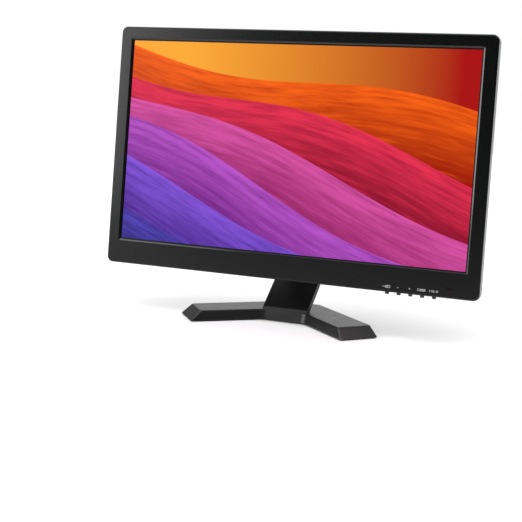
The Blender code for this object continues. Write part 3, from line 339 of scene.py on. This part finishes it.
# ---------------------------------------------------------------- the picture
SKY = ("ffaa33", "aa1111")        # behind the waves, at the left and at the right
WAVES = [                         # from the back: top at the left edge, slope, swing, crest and foot colours
    (0.02, 0.16, 0.05, "ff6611", "991100"),
    (0.12, 0.26, 0.06, "ee3355", "770022"),
    (0.26, 0.32, 0.05, "dd55aa", "881155"),
    (0.42, 0.36, 0.06, "bb55cc", "661177"),
    (0.62, 0.34, 0.05, "8855dd", "331177"),
    (0.84, 0.30, 0.04, "5544bb", "110033"),
]
WAVE_RATE = 3.2                   # radians of a wave's swing in each picture height across
PHASE_STEP = 1.3                  # between one wave and the next
WAVE_DEPTH = 0.34                 # from a wave's crest colour to its foot colour


def picture_colour(n, x, fall):
    """A made-up picture of streaked waves. x runs right and fall runs down, in picture heights."""
    picture = n.mix(n.span(x, 0.3, 1.7), *SKY)
    for i, (top, slope, swing, crest, foot) in enumerate(WAVES):
        line = n.math("SINE", x * WAVE_RATE + i * PHASE_STEP) * swing + x * slope + top
        below = fall - line
        streaks = n.noise(n.join(x * 1.4, below * 16.0, i * 5.0), 2.2, 4.0, 0.65)
        wave = n.mix(n.span(below, 0.0, WAVE_DEPTH), crest, foot)
        wave = n.mix(n.span(streaks, 0.42, 0.68, 0.0, 0.55), wave, foot)
        wave = n.mix(n.span(streaks, 0.46, 0.30, 0.0, 0.35), wave, crest)
        picture = n.mix(n.span(below, 0.0, 0.004), picture, wave)
    return picture


def lit_picture():
    n = new_material("lit_picture", {"Emission Strength": 1.0, "Specular IOR Level": 0.06})
    x, _, z = n.split(n.place())
    picture = picture_colour(n, (x + LIT_HALF) / LIT_HEIGHT, (LIT_TOP - z) / LIT_HEIGHT)
    grain, roughness = film_grain(n)
    return n.dress(n.mix(grain, "020202", "050505"), roughness, others={"Emission Color": picture})


MATERIALS["lit_picture"] = lit_picture()


# ---------------------------------------------------------------- mesh tools
def box(bm, low, high, edge=0.0):
    """Adds a box between two corners, with its edges rounded."""
    low, high = Vector(low), Vector(high)
    place = Matrix.Translation((low + high) / 2) @ Matrix.Diagonal((*(high - low), 1.0))
    made = bmesh.ops.create_cube(bm, size=1.0, matrix=place)["verts"]
    if edge:
        edges = list({e for v in made for e in v.link_edges})
        bmesh.ops.bevel(bm, geom=edges, offset=edge, segments=3, profile=0.5, affect="EDGES")
    return bm


def rectangle(left, right, bottom, top, radius, depth, steps=CORNER_STEPS):
    """Rounded rectangle in an XZ plane, as a loop of points."""
    points = []
    corners = ((right, top, 0), (left, top, 90), (left, bottom, 180), (right, bottom, 270))
    for x, z, start in corners:
        cx = x - math.copysign(radius, x - (left + right) / 2)
        cz = z - math.copysign(radius, z - (bottom + top) / 2)
        for i in range(steps + 1):
            angle = math.radians(start + 90 * i / steps)
            points.append(Vector((cx + radius * math.cos(angle), depth, cz + radius * math.sin(angle))))
    return points


def case_loop(inset, depth, radius=None):
    """The case's outline, pulled in by inset. Its sides close in behind the rounded front edge."""
    share = (depth - EDGE_ROUND) / (BEZEL_DEPTH - EDGE_ROUND)
    half = CASE_HALF - inset - SIDE_DRAFT * min(max(share, 0.0), 1.0)
    radius = CORNER_RADIUS - inset if radius is None else radius
    return rectangle(-half, half, inset, CASE_TOP - inset, radius, depth)


def picture_loop(margin, depth, radius):
    """The lit picture's outline, pushed out by margin."""
    half = LIT_HALF + margin
    return rectangle(-half, half, LIT_BOTTOM - margin, LIT_TOP + margin, radius, depth)


def loft(bm, loops, closed=False):
    """Joins loops of points into a skin: capped at both ends, or closed round into a ring."""
    rows = [[bm.verts.new(p) for p in loop] for loop in loops]
    pairs = list(zip(rows, rows[1:]))
    if closed:
        pairs.append((rows[-1], rows[0]))
    count = len(rows[0])
    for a, b in pairs:
        for i in range(count):
            j = (i + 1) % count
            bm.faces.new((a[i], a[j], b[j], b[i]))
    if not closed:
        bm.faces.new(rows[0])
        bm.faces.new(rows[-1])
    return bm


def turned(bm, profile, segments=32, place=Matrix.Identity(4)):
    """A closed round body about Z, from (radius, height) pairs whose ends have radius 0."""
    rings = []
    for radius, height in profile[1:-1]:
        angles = [2 * math.pi * i / segments for i in range(segments)]
        rings.append([bm.verts.new(place @ Vector((radius * math.cos(a), radius * math.sin(a), height)))
                      for a in angles])
    first, last = (bm.verts.new(place @ Vector((0, 0, profile[i][1]))) for i in (0, -1))
    for i in range(segments):
        j = (i + 1) % segments
        bm.faces.new((first, rings[0][j], rings[0][i]))
        bm.faces.new((last, rings[-1][i], rings[-1][j]))
        for a, b in zip(rings, rings[1:]):
            bm.faces.new((a[i], a[j], b[j], b[i]))
    return bm


def stroke(bm, points):
    """A flat printed line through (x, z) points, standing out a little from the plane y = 0."""
    points = [Vector(p) for p in points]
    still = Vector((0, 0))
    sections = []
    for i, point in enumerate(points):
        back = (point - points[i - 1]).normalized() if i else still
        ahead = (points[i + 1] - point).normalized() if i < len(points) - 1 else still
        run = (back + ahead).normalized()
        mitre = max(0.5, run.dot(ahead if ahead.length else back))
        side = Vector((-run.y, run.x)) * (LINE / 2 / mitre)
        left, right = point + side, point - side
        sections.append([Vector((left.x, 0, left.y)), Vector((right.x, 0, right.y)),
                         Vector((right.x, -INK, right.y)), Vector((left.x, -INK, left.y))])
    return loft(bm, sections)


def prism(bm, outline, low, high):
    """A (y, z) outline drawn out along x."""
    return loft(bm, [[Vector((x, y, z)) for y, z in outline] for x in (low, high)])


def bent_path(corners, radii, steps=12):
    """A line through 2D corners, with each inner corner rounded to its radius."""
    points = [Vector(corners[0])]
    for before, corner, after, radius in zip(corners, corners[1:], corners[2:], radii):
        corner = Vector(corner)
        back = (Vector(before) - corner).normalized()
        ahead = (Vector(after) - corner).normalized()
        half = math.acos(max(-1.0, min(1.0, back.dot(ahead)))) / 2
        centre = corner + (back + ahead).normalized() * (radius / math.sin(half))
        first = corner + back * (radius / math.tan(half)) - centre
        last = corner + ahead * (radius / math.tan(half)) - centre
        for i in range(steps + 1):
            around = first.lerp(last, i / steps).normalized() * radius
            points.append(centre + around)
    points.append(Vector(corners[-1]))
    return points


def beside(path, distance):
    """The path moved sideways by distance: positive is to its right."""
    moved = []
    for i, point in enumerate(path):
        before, after = path[max(i - 1, 0)], path[min(i + 1, len(path) - 1)]
        along = (after - before).normalized()
        moved.append(point + Vector((along.y, -along.x)) * distance)
    return moved


def band(path, inner, outer):
    """The outline between two distances beside a path."""
    return beside(path, inner) + beside(path, outer)[::-1]


def link(name, bm, place, own_axes=False):
    """A new object from a bmesh drawn in a frame. own_axes keeps that frame for its material."""
    bmesh.ops.recalc_face_normals(bm, faces=bm.faces)
    mesh = bpy.data.meshes.new(name)
    bm.to_mesh(mesh)
    bm.free()
    obj = bpy.data.objects.new(name, mesh)
    if own_axes:
        obj.matrix_world = place
    else:
        mesh.transform(place)
    bpy.context.scene.collection.objects.link(obj)
    return obj


def settle(obj):
    """Makes the shape that the modifiers give the object's own mesh."""
    bpy.context.view_layer.update()
    shaped = obj.evaluated_get(bpy.context.evaluated_depsgraph_get())
    mesh = bpy.data.meshes.new_from_object(shaped)
    obj.modifiers.clear()
    obj.data = mesh


def cut(obj, tools, place, operation="DIFFERENCE"):
    """Cuts closed shapes, drawn in a frame, out of the object."""
    tool = link("tool", tools, place)
    modifier = obj.modifiers.new("cut", "BOOLEAN")
    modifier.operation = operation
    modifier.object = tool
    settle(obj)
    bpy.data.objects.remove(tool)


def round_edges(obj, width, segments, degrees=60):
    """Rounds the edges where faces meet at more than an angle."""
    modifier = obj.modifiers.new("rounding", "BEVEL")
    modifier.width = width
    modifier.segments = segments
    modifier.limit_method = "ANGLE"
    modifier.angle_limit = math.radians(degrees)
    settle(obj)


def smooth(obj, degrees=32):
    """Smooth shading, sharp where faces meet at more than an angle, with flat faces left flat."""
    obj.data.shade_smooth()
    obj.data.set_sharp_from_angle(angle=math.radians(degrees))
    weighted = obj.modifiers.new("flat faces", "WEIGHTED_NORMAL")
    weighted.keep_sharp = True
    weighted.weight = 100


def belongs(obj, body, slot, *stands_for, looks=()):
    """Gives a piece its materials, hangs it on the body it rides on, and hides the CAD nodes it stands for."""
    for look in looks or [slot]:
        obj.data.materials.append(MATERIALS[look])
    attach(obj, body)
    if stands_for:
        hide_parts(*stands_for)


# ---------------------------------------------------------------- the front
LIP_SECTIONS = [                  # margin round the lit picture, depth, corner radius
    (0.00335, 0, 0.0018), (0.00310, 0.00003, 0.0017), (0.00135, 0.00062, 0.0008), (0.00118, 0.00082, 0.0007),
    (0.00105, 0.00165, 0.0006), (0.00100, 0.00180, 0.0005),
]


def bezel_loops():
    """Sections of the bezel: up its outer wall, over the face, down into the picture and back inside."""
    loops = [case_loop(EDGE_BREAK, BEZEL_DEPTH), case_loop(0, BEZEL_DEPTH - EDGE_BREAK)]
    for i in range(7):
        angle = math.radians(90 * i / 6)
        inset, depth = EDGE_ROUND * (1 - math.cos(angle)), EDGE_ROUND * (1 - math.sin(angle))
        loops.append(case_loop(inset, depth))
    loops += [picture_loop(*section) for section in LIP_SECTIONS]
    loops.append(case_loop(WALL, FACE_WALL))
    loops.append(case_loop(WALL, BEZEL_DEPTH))
    return loops


def polish_lip(mesh):
    """Gives the sloping lip round the picture the second material."""
    low, high = LIP_SECTIONS[1][1], LIP_SECTIONS[2][1]
    reach = LIP_SECTIONS[0][0]
    for face in mesh.polygons:
        x, y, z = HEAD.inverted() @ face.center
        beside_picture = abs(x) < LIT_HALF + reach and LIT_BOTTOM - reach < z < LIT_TOP + reach
        if beside_picture and low < y < high:
            face.material_index = 1


def key_box(word):
    return node_box("button_" + word, HEAD)


def make_bezel():
    bezel = link("bezel_shell", loft(bmesh.new(), bezel_loops(), closed=True), HEAD)
    holes = bmesh.new()
    for word in KEYS:
        low, high = key_box(word)
        grow = CLEARANCE - KEY_FLANGE
        box(holes, (low.x - grow, low.y - grow, -0.001), (high.x + grow, high.y + grow, WALL + 0.001))
    low, high = node_box("ir_window", HEAD)
    box(holes, (low.x - CLEARANCE, -0.001, low.z - CLEARANCE),
        (high.x + CLEARANCE, FACE_WALL + 0.001, high.z + CLEARANCE))
    cut(bezel, holes, HEAD)
    smooth(bezel)
    polish_lip(bezel.data)
    belongs(bezel, "head", "bezel_plastic", "front_bezel", looks=("bezel_plastic", "lip_plastic"))


def make_panel():
    """Two sheets of glass. The front one has a dark edge round the lit picture."""
    low, high = PANEL_LOW, PANEL_HIGH
    middle = (low.y + high.y) / 2
    bm = bmesh.new()
    box(bm, (low.x, middle, low.z), high, 0.00015)
    step = 0.0012                 # the back sheet is larger
    loft(bm, [rectangle(low.x + inset, high.x - inset, low.z + inset, high.z - inset, 0.0004, depth, 3)
              for inset, depth in ((step, middle), (step, low.y + 0.00012), (step + 0.0001, low.y))])
    bm.faces.ensure_lookup_table()
    front = min(bm.faces, key=lambda f: f.calc_center_median().y)
    bmesh.ops.inset_region(bm, faces=[front], thickness=0.002)
    for vertex in front.verts:
        x, z = vertex.co.x, vertex.co.z
        vertex.co.x = math.copysign(LIT_HALF, x)
        vertex.co.z = LIT_TOP if z > (LIT_TOP + LIT_BOTTOM) / 2 else LIT_BOTTOM
    front.material_index = 1
    bmesh.ops.remove_doubles(bm, verts=list(front.verts), dist=1e-6)
    panel = link("picture_panel", bm, HEAD, own_axes=True)
    belongs(panel, "head", "picture", "lcd_panel", looks=("panel_edge", "lit_picture"))


def make_buttons():
    """Caps with a domed end below the case, a flange inside, and a stem into the switch."""
    for word in KEYS:
        low, high = key_box(word)
        centre = (low + high) / 2

        def section(grow, z):
            inset = KEY_FLANGE - grow
            loop = rectangle(low.x + inset, high.x - inset, low.y + inset, high.y - inset,
                             min(0.0012, 0.0014 + grow), 0, 8)
            return [Vector((p.x, p.z, z)) for p in loop]

        dome = [(-0.0012, 0.0), (-0.0008, 0.00006), (-0.0004, 0.00028), (-0.0001, 0.0007), (0, 0.0012)]
        skin = [section(grow, low.z + rise) for grow, rise in dome]
        inside = WALL + CLEARANCE
        skin += [section(0, inside), section(KEY_FLANGE, inside), section(KEY_FLANGE, inside + KEY_FLANGE)]
        button = link(word + "_button", loft(bmesh.new(), skin), HEAD)
        stem = turned(bmesh.new(), [(0, WALL), (0.0013, WALL), (0.0013, high.z), (0, high.z)], 24,
                      Matrix.Translation((centre.x, centre.y, 0)))
        cut(button, stem, HEAD, "UNION")
        smooth(button)
        belongs(button, word + "_key", "button_plastic", "button_" + word)


# ---------------------------------------------------------------- the back
BACKWARD = Matrix.Rotation(math.radians(-90), 4, "X")
BACK_PLANE = node_box("hinge_leaf", HEAD)[0].y - CLEARANCE
BULGE_DEPTH = node_box("rear_cover", HEAD)[1].y
WALL_MOUNT_HALF, WALL_MOUNT_CENTRE = 0.0375, 0.1380
VENT_COUNT, VENT_PITCH, VENT_HEIGHT = 31, 0.0085, 0.2240
GRILLE_COUNT, GRILLE_PITCH, GRILLE_START, GRILLE_HEIGHT = 6, 0.0042, 0.1700, 0.0520
SOCKET_NAMES = ("dc_inlet", "aerial_socket", "hdmi_socket", "vga_socket", "usb_socket", "av_jack",
                "earphone_jack")
BACK_SECTIONS = [                 # inset, depth, corner radius
    (0.0007, 0.0133, 0.0062), (0.0004, 0.0137, 0.0066), (0.0006, 0.0165, 0.0064), (0.00075, 0.0176, 0.0063),
    (0.00115, 0.0185, 0.0062), (0.0018, 0.0192, 0.0061), (0.0026, 0.0198, 0.0060), (0.0226, 0.0302, 0.0080),
    (0.0245, 0.0311, 0.0088), (0.0262, 0.0317, 0.0094), (0.0285, 0.0320, 0.0100),
]
BULGE_SECTIONS = [                # inset, height over the flat of the back
    (-0.0014, -0.0008), (-0.0012, 0.00004), (-0.0007, 0.0002), (-0.0003, 0.0006), (0, 0.0012), (0, 0.0120),
    (0.0003, 0.0132), (0.0009, 0.0143), (0.0019, 0.0151), (0.0032, 0.0157), (0.0050, 0.0160),
]


def bulge_box():
    """Left, right, bottom and top of the raised housing, from the CAD back's deepest part."""
    deep = [p for p in node_points("rear_cover", HEAD) if p.y > BACK_PLANE + 0.0090]
    xs, zs = [p.x for p in deep], [p.z for p in deep]
    return min(xs), max(xs), min(zs), max(zs)


BULGE = bulge_box()


def bulge_loop(inset, depth, steps=CORNER_STEPS):
    left, right, bottom, top = BULGE
    radius = max(0.0100 - inset, 0.0050)
    return rectangle(left + inset, right - inset, bottom + inset, top - inset, radius, depth, steps)


def slot_loops(x, z, width, height):
    """Sections of an upright slot with round ends and a chamfered mouth."""
    loops = []
    for grow, depth in ((0.0009, 0.0005), (0, -0.0004), (0, -WALL - 0.001)):
        half, rise = width / 2 + grow, height / 2 + grow
        loops.append(rectangle(x - half, x + half, z - rise, z + rise, half * 0.98, BACK_PLANE + depth, 5))
    return loops


def vent_cutters():
    bm = bmesh.new()
    for i in range(VENT_COUNT):
        loft(bm, slot_loops((i - VENT_COUNT // 2) * VENT_PITCH, VENT_HEIGHT, 0.0032, 0.0200))
    for side in (-1, 1):
        for i in range(GRILLE_COUNT):
            loft(bm, slot_loops(side * (GRILLE_START + i * GRILLE_PITCH), GRILLE_HEIGHT, 0.0020, 0.0300))
    return bm


def hole_cutters():
    """Screw holes, countersunk wall-mount holes and the windows for the sockets."""
    bm = bmesh.new()
    screws = [node_box(f"{kind}_screw_{i}", HEAD) for kind in ("cover", "hinge") for i in range(1, 5)]
    for low, high in screws:
        place = Matrix.Translation(((low.x + high.x) / 2, BACK_PLANE, (low.z + high.z) / 2)) @ BACKWARD
        turned(bm, [(0, -0.006), (0.0018, -0.006), (0.0018, 0.003), (0, 0.003)], 24, place)
    for x in (-WALL_MOUNT_HALF, WALL_MOUNT_HALF):
        for z in (WALL_MOUNT_CENTRE - WALL_MOUNT_HALF, WALL_MOUNT_CENTRE + WALL_MOUNT_HALF):
            place = Matrix.Translation((x, BULGE_DEPTH, z)) @ BACKWARD
            profile = [(0, -0.006), (0.0026, -0.006), (0.0026, -0.0006), (0.0037, 0.0005), (0, 0.0005)]
            turned(bm, profile, 32, place)
    grow = Vector((0.0005, 0.0005, 0))
    for name in SOCKET_NAMES:
        low, high = node_box(name, HEAD)
        low.z, high.z = BULGE[2] - 0.002, BULGE[2] + WALL + 0.002
        box(bm, low - grow, high + grow)
    return bm


def make_back():
    skin = [case_loop(inset, depth, radius) for inset, depth, radius in BACK_SECTIONS]
    shell = link("back_shell", loft(bmesh.new(), skin), HEAD)
    raised = [bulge_loop(inset, BACK_PLANE + rise) for inset, rise in BULGE_SECTIONS]
    cut(shell, loft(bmesh.new(), raised), HEAD, "UNION")
    hollow = [(0.0026, 0.0120, 0.0046), (0.0028, 0.0162, 0.0044), (0.0044, 0.0184, 0.0044),
              (0.0250, 0.0284, 0.0070), (0.0290, BACK_PLANE - WALL, 0.0090)]
    cut(shell, loft(bmesh.new(), [case_loop(*section) for section in hollow]), HEAD)
    hollow = [(WALL, 0.0280), (WALL, 0.0432), (0.0034, 0.0450), (0.0060, BULGE_DEPTH - WALL)]
    cut(shell, loft(bmesh.new(), [bulge_loop(*section, 4) for section in hollow]), HEAD)
    cut(shell, vent_cutters(), HEAD)
    cut(shell, hole_cutters(), HEAD)
    smooth(shell, 28)
    belongs(shell, "head", "back_plastic", "rear_cover")


# ---------------------------------------------------------------- the stand
BASE_LOW, BASE_HIGH = node_box("base_cover", DESK)
LEG_ANGLE = math.radians(40.7)    # each leg points this far forward of sideways
LEG_WIDTH = 0.0454
NOTCH_X, NOTCH_Y = 0.0256, -0.0045
END_DRAFT, FRONT_DRAFT, BACK_DRAFT = 0.0118, 0.0026, 0.0030
BASE_WALL = 0.0025


def base_outline(end, front, back, height, notch_radius=0.014, steps=8):
    """The base's outline at a height, pulled in at its ends, front and back."""
    along = Vector((math.cos(LEG_ANGLE), -math.sin(LEG_ANGLE)))
    across = Vector((math.sin(LEG_ANGLE), math.cos(LEG_ANGLE)))
    tip = Vector((NOTCH_X, NOTCH_Y)) + along * ((NOTCH_Y - BASE_LOW.y) / math.sin(LEG_ANGLE) - end)
    toe_front = tip + across * front
    toe_back = tip + across * (LEG_WIDTH - back)
    rear = toe_back - along * ((BASE_HIGH.y - back - toe_back.y) / math.sin(LEG_ANGLE))
    inner = toe_front - along * ((NOTCH_Y + front - toe_front.y) / math.sin(LEG_ANGLE))
    corners = [Vector((0, rear.y)), rear, toe_back, toe_front, inner, Vector((0, inner.y))]
    half = bent_path(corners, [0.0060, 0.0016, 0.0016, notch_radius], steps)[1:-1]
    loop = [Vector((p.x, p.y, height)) for p in half]
    return loop + [Vector((-p.x, p.y, p.z)) for p in reversed(loop)]


def neck_path(bottom, top, steps=14):
    """Side view of the neck's middle: up out of the base, back at a lean, then up to the hinge."""
    knee = NECK_BEND + (HINGE.y - NECK_ROOT) / math.tan(NECK_LEAN)
    corners = [(NECK_ROOT, bottom), (NECK_ROOT, NECK_BEND), (HINGE.y, knee), (HINGE.y, top)]
    return bent_path(corners, [0.006, 0.018], steps)


HINGE = sum(node_box("hinge_nut", DESK), Vector()) / 2
NECK_LOW, NECK_HIGH = node_box("neck_rear_cover", DESK)
NECK_HALF_WIDTH = NECK_HIGH.x
NECK_HALF = 0.0037                # half its thickness
NECK_ROOT = 0.0026                # its middle where it leaves the base
NECK_BEND = 0.01147
NECK_LEAN = math.radians(50.7)    # from the vertical
NECK_TOP = 0.0690
HOOD_RADIUS = NECK_HIGH.z - HINGE.z
STRAP_ROOM = 0.00165              # half the room for the steel strap


def make_base():
    rim, top = BASE_LOW.z, BASE_HIGH.z
    skin = [base_outline(0.0002, 0.0002, 0.0002, rim), base_outline(0, 0, 0, rim + 0.0002),
            base_outline(0.0008, 0.0001, 0.0001, rim + 0.0012)]
    for i in range(6):
        angle = math.radians(90 * i / 5)
        inward, rise = 1 - math.cos(angle), math.sin(angle)
        skin.append(base_outline(END_DRAFT - 0.0012 + 0.0020 * inward, FRONT_DRAFT - 0.0004 + 0.0012 * inward,
                                 BACK_DRAFT - 0.0004 + 0.0012 * inward, top - 0.0010 + 0.0010 * rise))
    base = link("base_shell", loft(bmesh.new(), skin), DESK)
    wall = BASE_WALL
    hollow = [base_outline(wall + 0.0004, wall, wall, 0, 0.0165, 4),
              base_outline(wall + 0.0012, wall, wall, rim + 0.0004, 0.0165, 4),
              base_outline(END_DRAFT + wall, FRONT_DRAFT + wall, BACK_DRAFT + wall, top - wall, 0.0165, 4)]
    cut(base, loft(bmesh.new(), hollow), DESK)
    reach, half = NECK_HALF + 0.0004, NECK_HALF_WIDTH + 0.0004
    cut(base, prism(bmesh.new(), band(neck_path(0, NECK_TOP), -reach, reach), -half, half), DESK)
    smooth(base, 28)
    belongs(base, "stand", "stand_plastic", "base_cover")


def hood_arc(radius, steps=28):
    """The round top of the neck's rear cover, from above the hinge back and down onto the neck."""
    angles = [math.radians(88 - 143 * i / steps) for i in range(steps + 1)]
    return [Vector((HINGE.y + radius * math.cos(a), HINGE.z + radius * math.sin(a))) for a in angles]


def neck_half(name, outline, hollow, node):
    """One plastic half of the neck: an outline across its whole width, less the room for the strap."""
    half = link(name, prism(bmesh.new(), outline, -NECK_HALF_WIDTH, NECK_HALF_WIDTH), DESK)
    round_edges(half, 0.0010, 5)
    inner = NECK_HALF_WIDTH - WALL
    cut(half, prism(bmesh.new(), hollow, -inner, inner), DESK)
    smooth(half, 28)
    # the neck halves wear the darker copy of the stand's plastic: painted shade under the head
    belongs(half, "stand", "stand_plastic", node, looks=("shaded_neck_plastic",))


def make_neck():
    bottom = NECK_LOW.z
    path = neck_path(bottom, NECK_TOP)
    room = neck_path(bottom - 0.002, NECK_TOP + 0.002)
    gap = CLEARANCE / 2
    neck_half("neck_front_shell", band(path, -gap, -NECK_HALF), band(room, 0.001, -STRAP_ROOM),
              "neck_front_cover")
    outline = beside(path, gap) + [Vector((HINGE.y + gap, HINGE.z + HOOD_RADIUS - 0.0010))]
    outline += hood_arc(HOOD_RADIUS) + beside(path, NECK_HALF)[::-1]
    hollow = beside(room, -0.001) + [Vector((HINGE.y - 0.001, HINGE.z + HOOD_RADIUS - WALL - 0.0004))]
    hollow += hood_arc(HOOD_RADIUS - WALL) + beside(room, STRAP_ROOM)[::-1]
    neck_half("neck_rear_shell", outline, hollow, "neck_rear_cover")


# ---------------------------------------------------------------- marks above the keys
INK = 0.00005                     # thickness of the printed ink
LINE = 0.00042                    # width of a printed line
MARK_HEIGHT = 0.0060              # over the case's lower edge


def arc(cx, cz, radius, start, end, steps=20):
    angles = [math.radians(start + (end - start) * i / steps) for i in range(steps + 1)]
    return [(cx + radius * math.cos(a), cz + radius * math.sin(a)) for a in angles]


MARKS = {
    "source": [                   # an arrow into a frame
        [(-0.0006, 0.0006), (-0.0006, 0.0011), (0.0042, 0.0011), (0.0042, -0.0011), (-0.0006, -0.0011),
         (-0.0006, -0.0006)],
        [(-0.0042, 0), (0.0016, 0)], [(0.0008, 0.0007), (0.0018, 0), (0.0008, -0.0007)]],
    "down": [[(-0.0008, 0), (0.0008, 0)]],
    "up": [[(-0.0009, 0), (0.0009, 0)], [(0, -LINE / 2), (0, -0.0009)], [(0, LINE / 2), (0, 0.0009)]],
    "menu": [                     # the lines of a list, in two columns
        [(left, z), (right, z)] for z in (-0.0009, 0, 0.0009)
        for left, right in ((-0.0044, -0.0030), (-0.0020, 0.0044))],
    "power": [                    # a standby sign between a bar and a ring
        arc(0, -0.0001, 0.00105, 125, 415), [(0, 0.0001), (0, 0.0013)], arc(0.0040, 0, 0.0009, 0, 345),
        [(-0.0042, -0.0011), (-0.0042, 0.0011)], [(-0.0026, -0.0010), (-0.0018, 0.0010)]],
}


def make_marks():
    """One printed mark above each key."""
    for word, strokes in MARKS.items():
        low, high = key_box(word)
        bm = bmesh.new()
        for points in strokes:
            stroke(bm, points)
        bmesh.ops.translate(bm, verts=bm.verts, vec=((low.x + high.x) / 2, 0, MARK_HEIGHT))
        mark = link(word + "_mark", bm, HEAD)
        belongs(mark, "head", "bezel_plastic", looks=("key_ink",))


# ---------------------------------------------------------------- screws
HEAD_SHARE = 0.62                 # height of a pan head, as a share of its radius
HEAD_HEIGHT = 0.0018              # of the heads at the back
THREAD_PITCH = 0.0007


def screw_head_profile(radius, height):
    """A pan head from its rim inwards, standing on z = 0."""
    crown = [(radius * math.cos(math.radians(a)), height * (0.35 + 0.65 * math.sin(math.radians(a))))
             for a in range(0, 90, 15)]
    return [(radius, 0), *crown, (0, height)]


def make_screw(node, place, body, length, radius):
    """A cross-head screw whose head stands on z = 0 of its place, with a thread below."""
    shank = radius * 0.5
    turns = int((length - 0.0012) / THREAD_PITCH)
    profile = [(0, -length), (shank * 0.5, -length + 0.0002)]
    for i in range(turns):
        z = -length + 0.0006 + i * THREAD_PITCH
        profile += [(shank * 0.8, z), (shank, z + THREAD_PITCH / 2)]
    profile += [(shank * 0.8, -0.0004), (shank, 0)]
    head_height = radius * HEAD_SHARE
    profile += screw_head_profile(radius, head_height)
    screw = link(node + "_detail", turned(bmesh.new(), profile, 24), place)
    slot_half, slot_width, slot_depth = radius * 0.58, radius * 0.13, head_height * 0.75
    for a, b in ((slot_half, slot_width), (slot_width, slot_half)):
        recess = bmesh.new()
        outline = [(-a, -b), (a, -b), (a, b), (-a, b)]
        loft(recess, [[Vector((x * 0.6, y * 0.6, head_height - slot_depth)) for x, y in outline],
                      [Vector((x, y, head_height + 0.0005)) for x, y in outline]])
        cut(screw, recess, place)
    smooth(screw, 40)
    belongs(screw, body, "screw_steel", node)


def make_screws():
    for kind in ("cover_screw", "hinge_screw"):
        for i in range(1, 5):
            node = f"{kind}_{i}"
            low, high = node_box(node, HEAD)
            middle, seat = (low + high) / 2, high.y - HEAD_HEIGHT
            place = HEAD @ Matrix.Translation((middle.x, seat, middle.z)) @ BACKWARD
            make_screw(node, place, "head", seat - low.y, (high.x - low.x) / 2)
    downward = Matrix.Rotation(math.radians(180), 4, "X")
    for i in range(1, 3):
        node = f"base_screw_{i}"
        low, high = node_box(node, DESK)
        radius = (high.x - low.x) / 2
        head_height = radius * HEAD_SHARE
        middle = (low + high) / 2
        place = Matrix.Translation((middle.x, middle.y, low.z + head_height)) @ downward
        make_screw(node, place, "stand", high.z - low.z - head_height, radius)


# ---------------------------------------------------------------- stage
def make_camera():
    camera = bpy.data.cameras.new("camera")
    camera.lens = 82.03
    camera.sensor_width = 36.0
    camera.shift_y = -0.0939
    azimuth, elevation, roll = (math.radians(a) for a in (23.164, 7.020, 1.971))
    back = Vector((math.sin(azimuth) * math.cos(elevation), -math.cos(azimuth) * math.cos(elevation),
                   math.sin(elevation)))
    right = Vector((math.cos(azimuth), math.sin(azimuth), 0))
    up = back.cross(right)
    turned_right = right * math.cos(roll) + up * math.sin(roll)
    turned_up = up * math.cos(roll) - right * math.sin(roll)
    axes = Matrix((turned_right, turned_up, back)).transposed().to_4x4()
    obj = bpy.data.objects.new("camera", camera)
    obj.matrix_world = Matrix.Translation((0.4874, -1.2158, 0.2842)) @ axes
    bpy.context.scene.collection.objects.link(obj)
    bpy.context.scene.camera = obj


def make_floor():
    bm = bmesh.new()
    bmesh.ops.create_grid(bm, x_segments=1, y_segments=1, size=3.0)
    floor = link("floor", bm, DESK)
    n = new_material("white_table")
    paper = n.noise(n.place(), 30.0, 3.0)
    pale = n.mix(paper, (0.90, 0.90, 0.90, 1), (0.94, 0.94, 0.94, 1))
    floor.data.materials.append(n.dress(pale, n.span(paper, 0.3, 0.7, 0.85, 0.95)))


def softbox(name, place, target, width, height, power):
    light = bpy.data.lights.new(name, "AREA")
    light.shape = "RECTANGLE"
    light.size, light.size_y = width, height
    light.energy = power
    obj = bpy.data.objects.new(name, light)
    obj.location = place
    obj.rotation_euler = (Vector(target) - Vector(place)).to_track_quat("-Z", "Y").to_euler()
    bpy.context.scene.collection.objects.link(obj)


def make_lights():
    """A bright studio behind and above, dark in front, and two soft lights at the front left."""
    world = bpy.data.worlds.new("studio")
    bpy.context.scene.world = world
    world.use_nodes = True
    n = Nodes(world)
    _, ahead, up = n.split(n.add("TexCoord", output="Generated"))
    behind = n.span(ahead, 0.50, 0.85, 0.03, 1.0, smooth=True)
    above = n.span(up, 0.45, 0.90, 0.0, 2.4, smooth=True)
    seen = n.add("LightPath", output="Is Camera Ray")
    level = n.mix(seen, n.math("MAXIMUM", behind, above), (1.0, 1.0, 1.0, 1.0))
    n.put(world.node_tree.nodes["Background"].inputs["Color"], level)
    softbox("left", (-1.45, -1.40, 0.80), (-0.1, 0, 0.18), 1.0, 1.2, 16)
    softbox("strip", (-1.54, -1.36, 0.55), (0.2, 0, 0.20), 0.20, 1.5, 4)
    bpy.context.scene.view_settings.view_transform = "Standard"


# ---------------------------------------------------------------- everything
make_camera()
make_floor()
make_lights()
finish_cad_nodes()
make_bezel()
make_panel()
make_buttons()
make_marks()
make_back()
make_base()
make_neck()
make_screws()
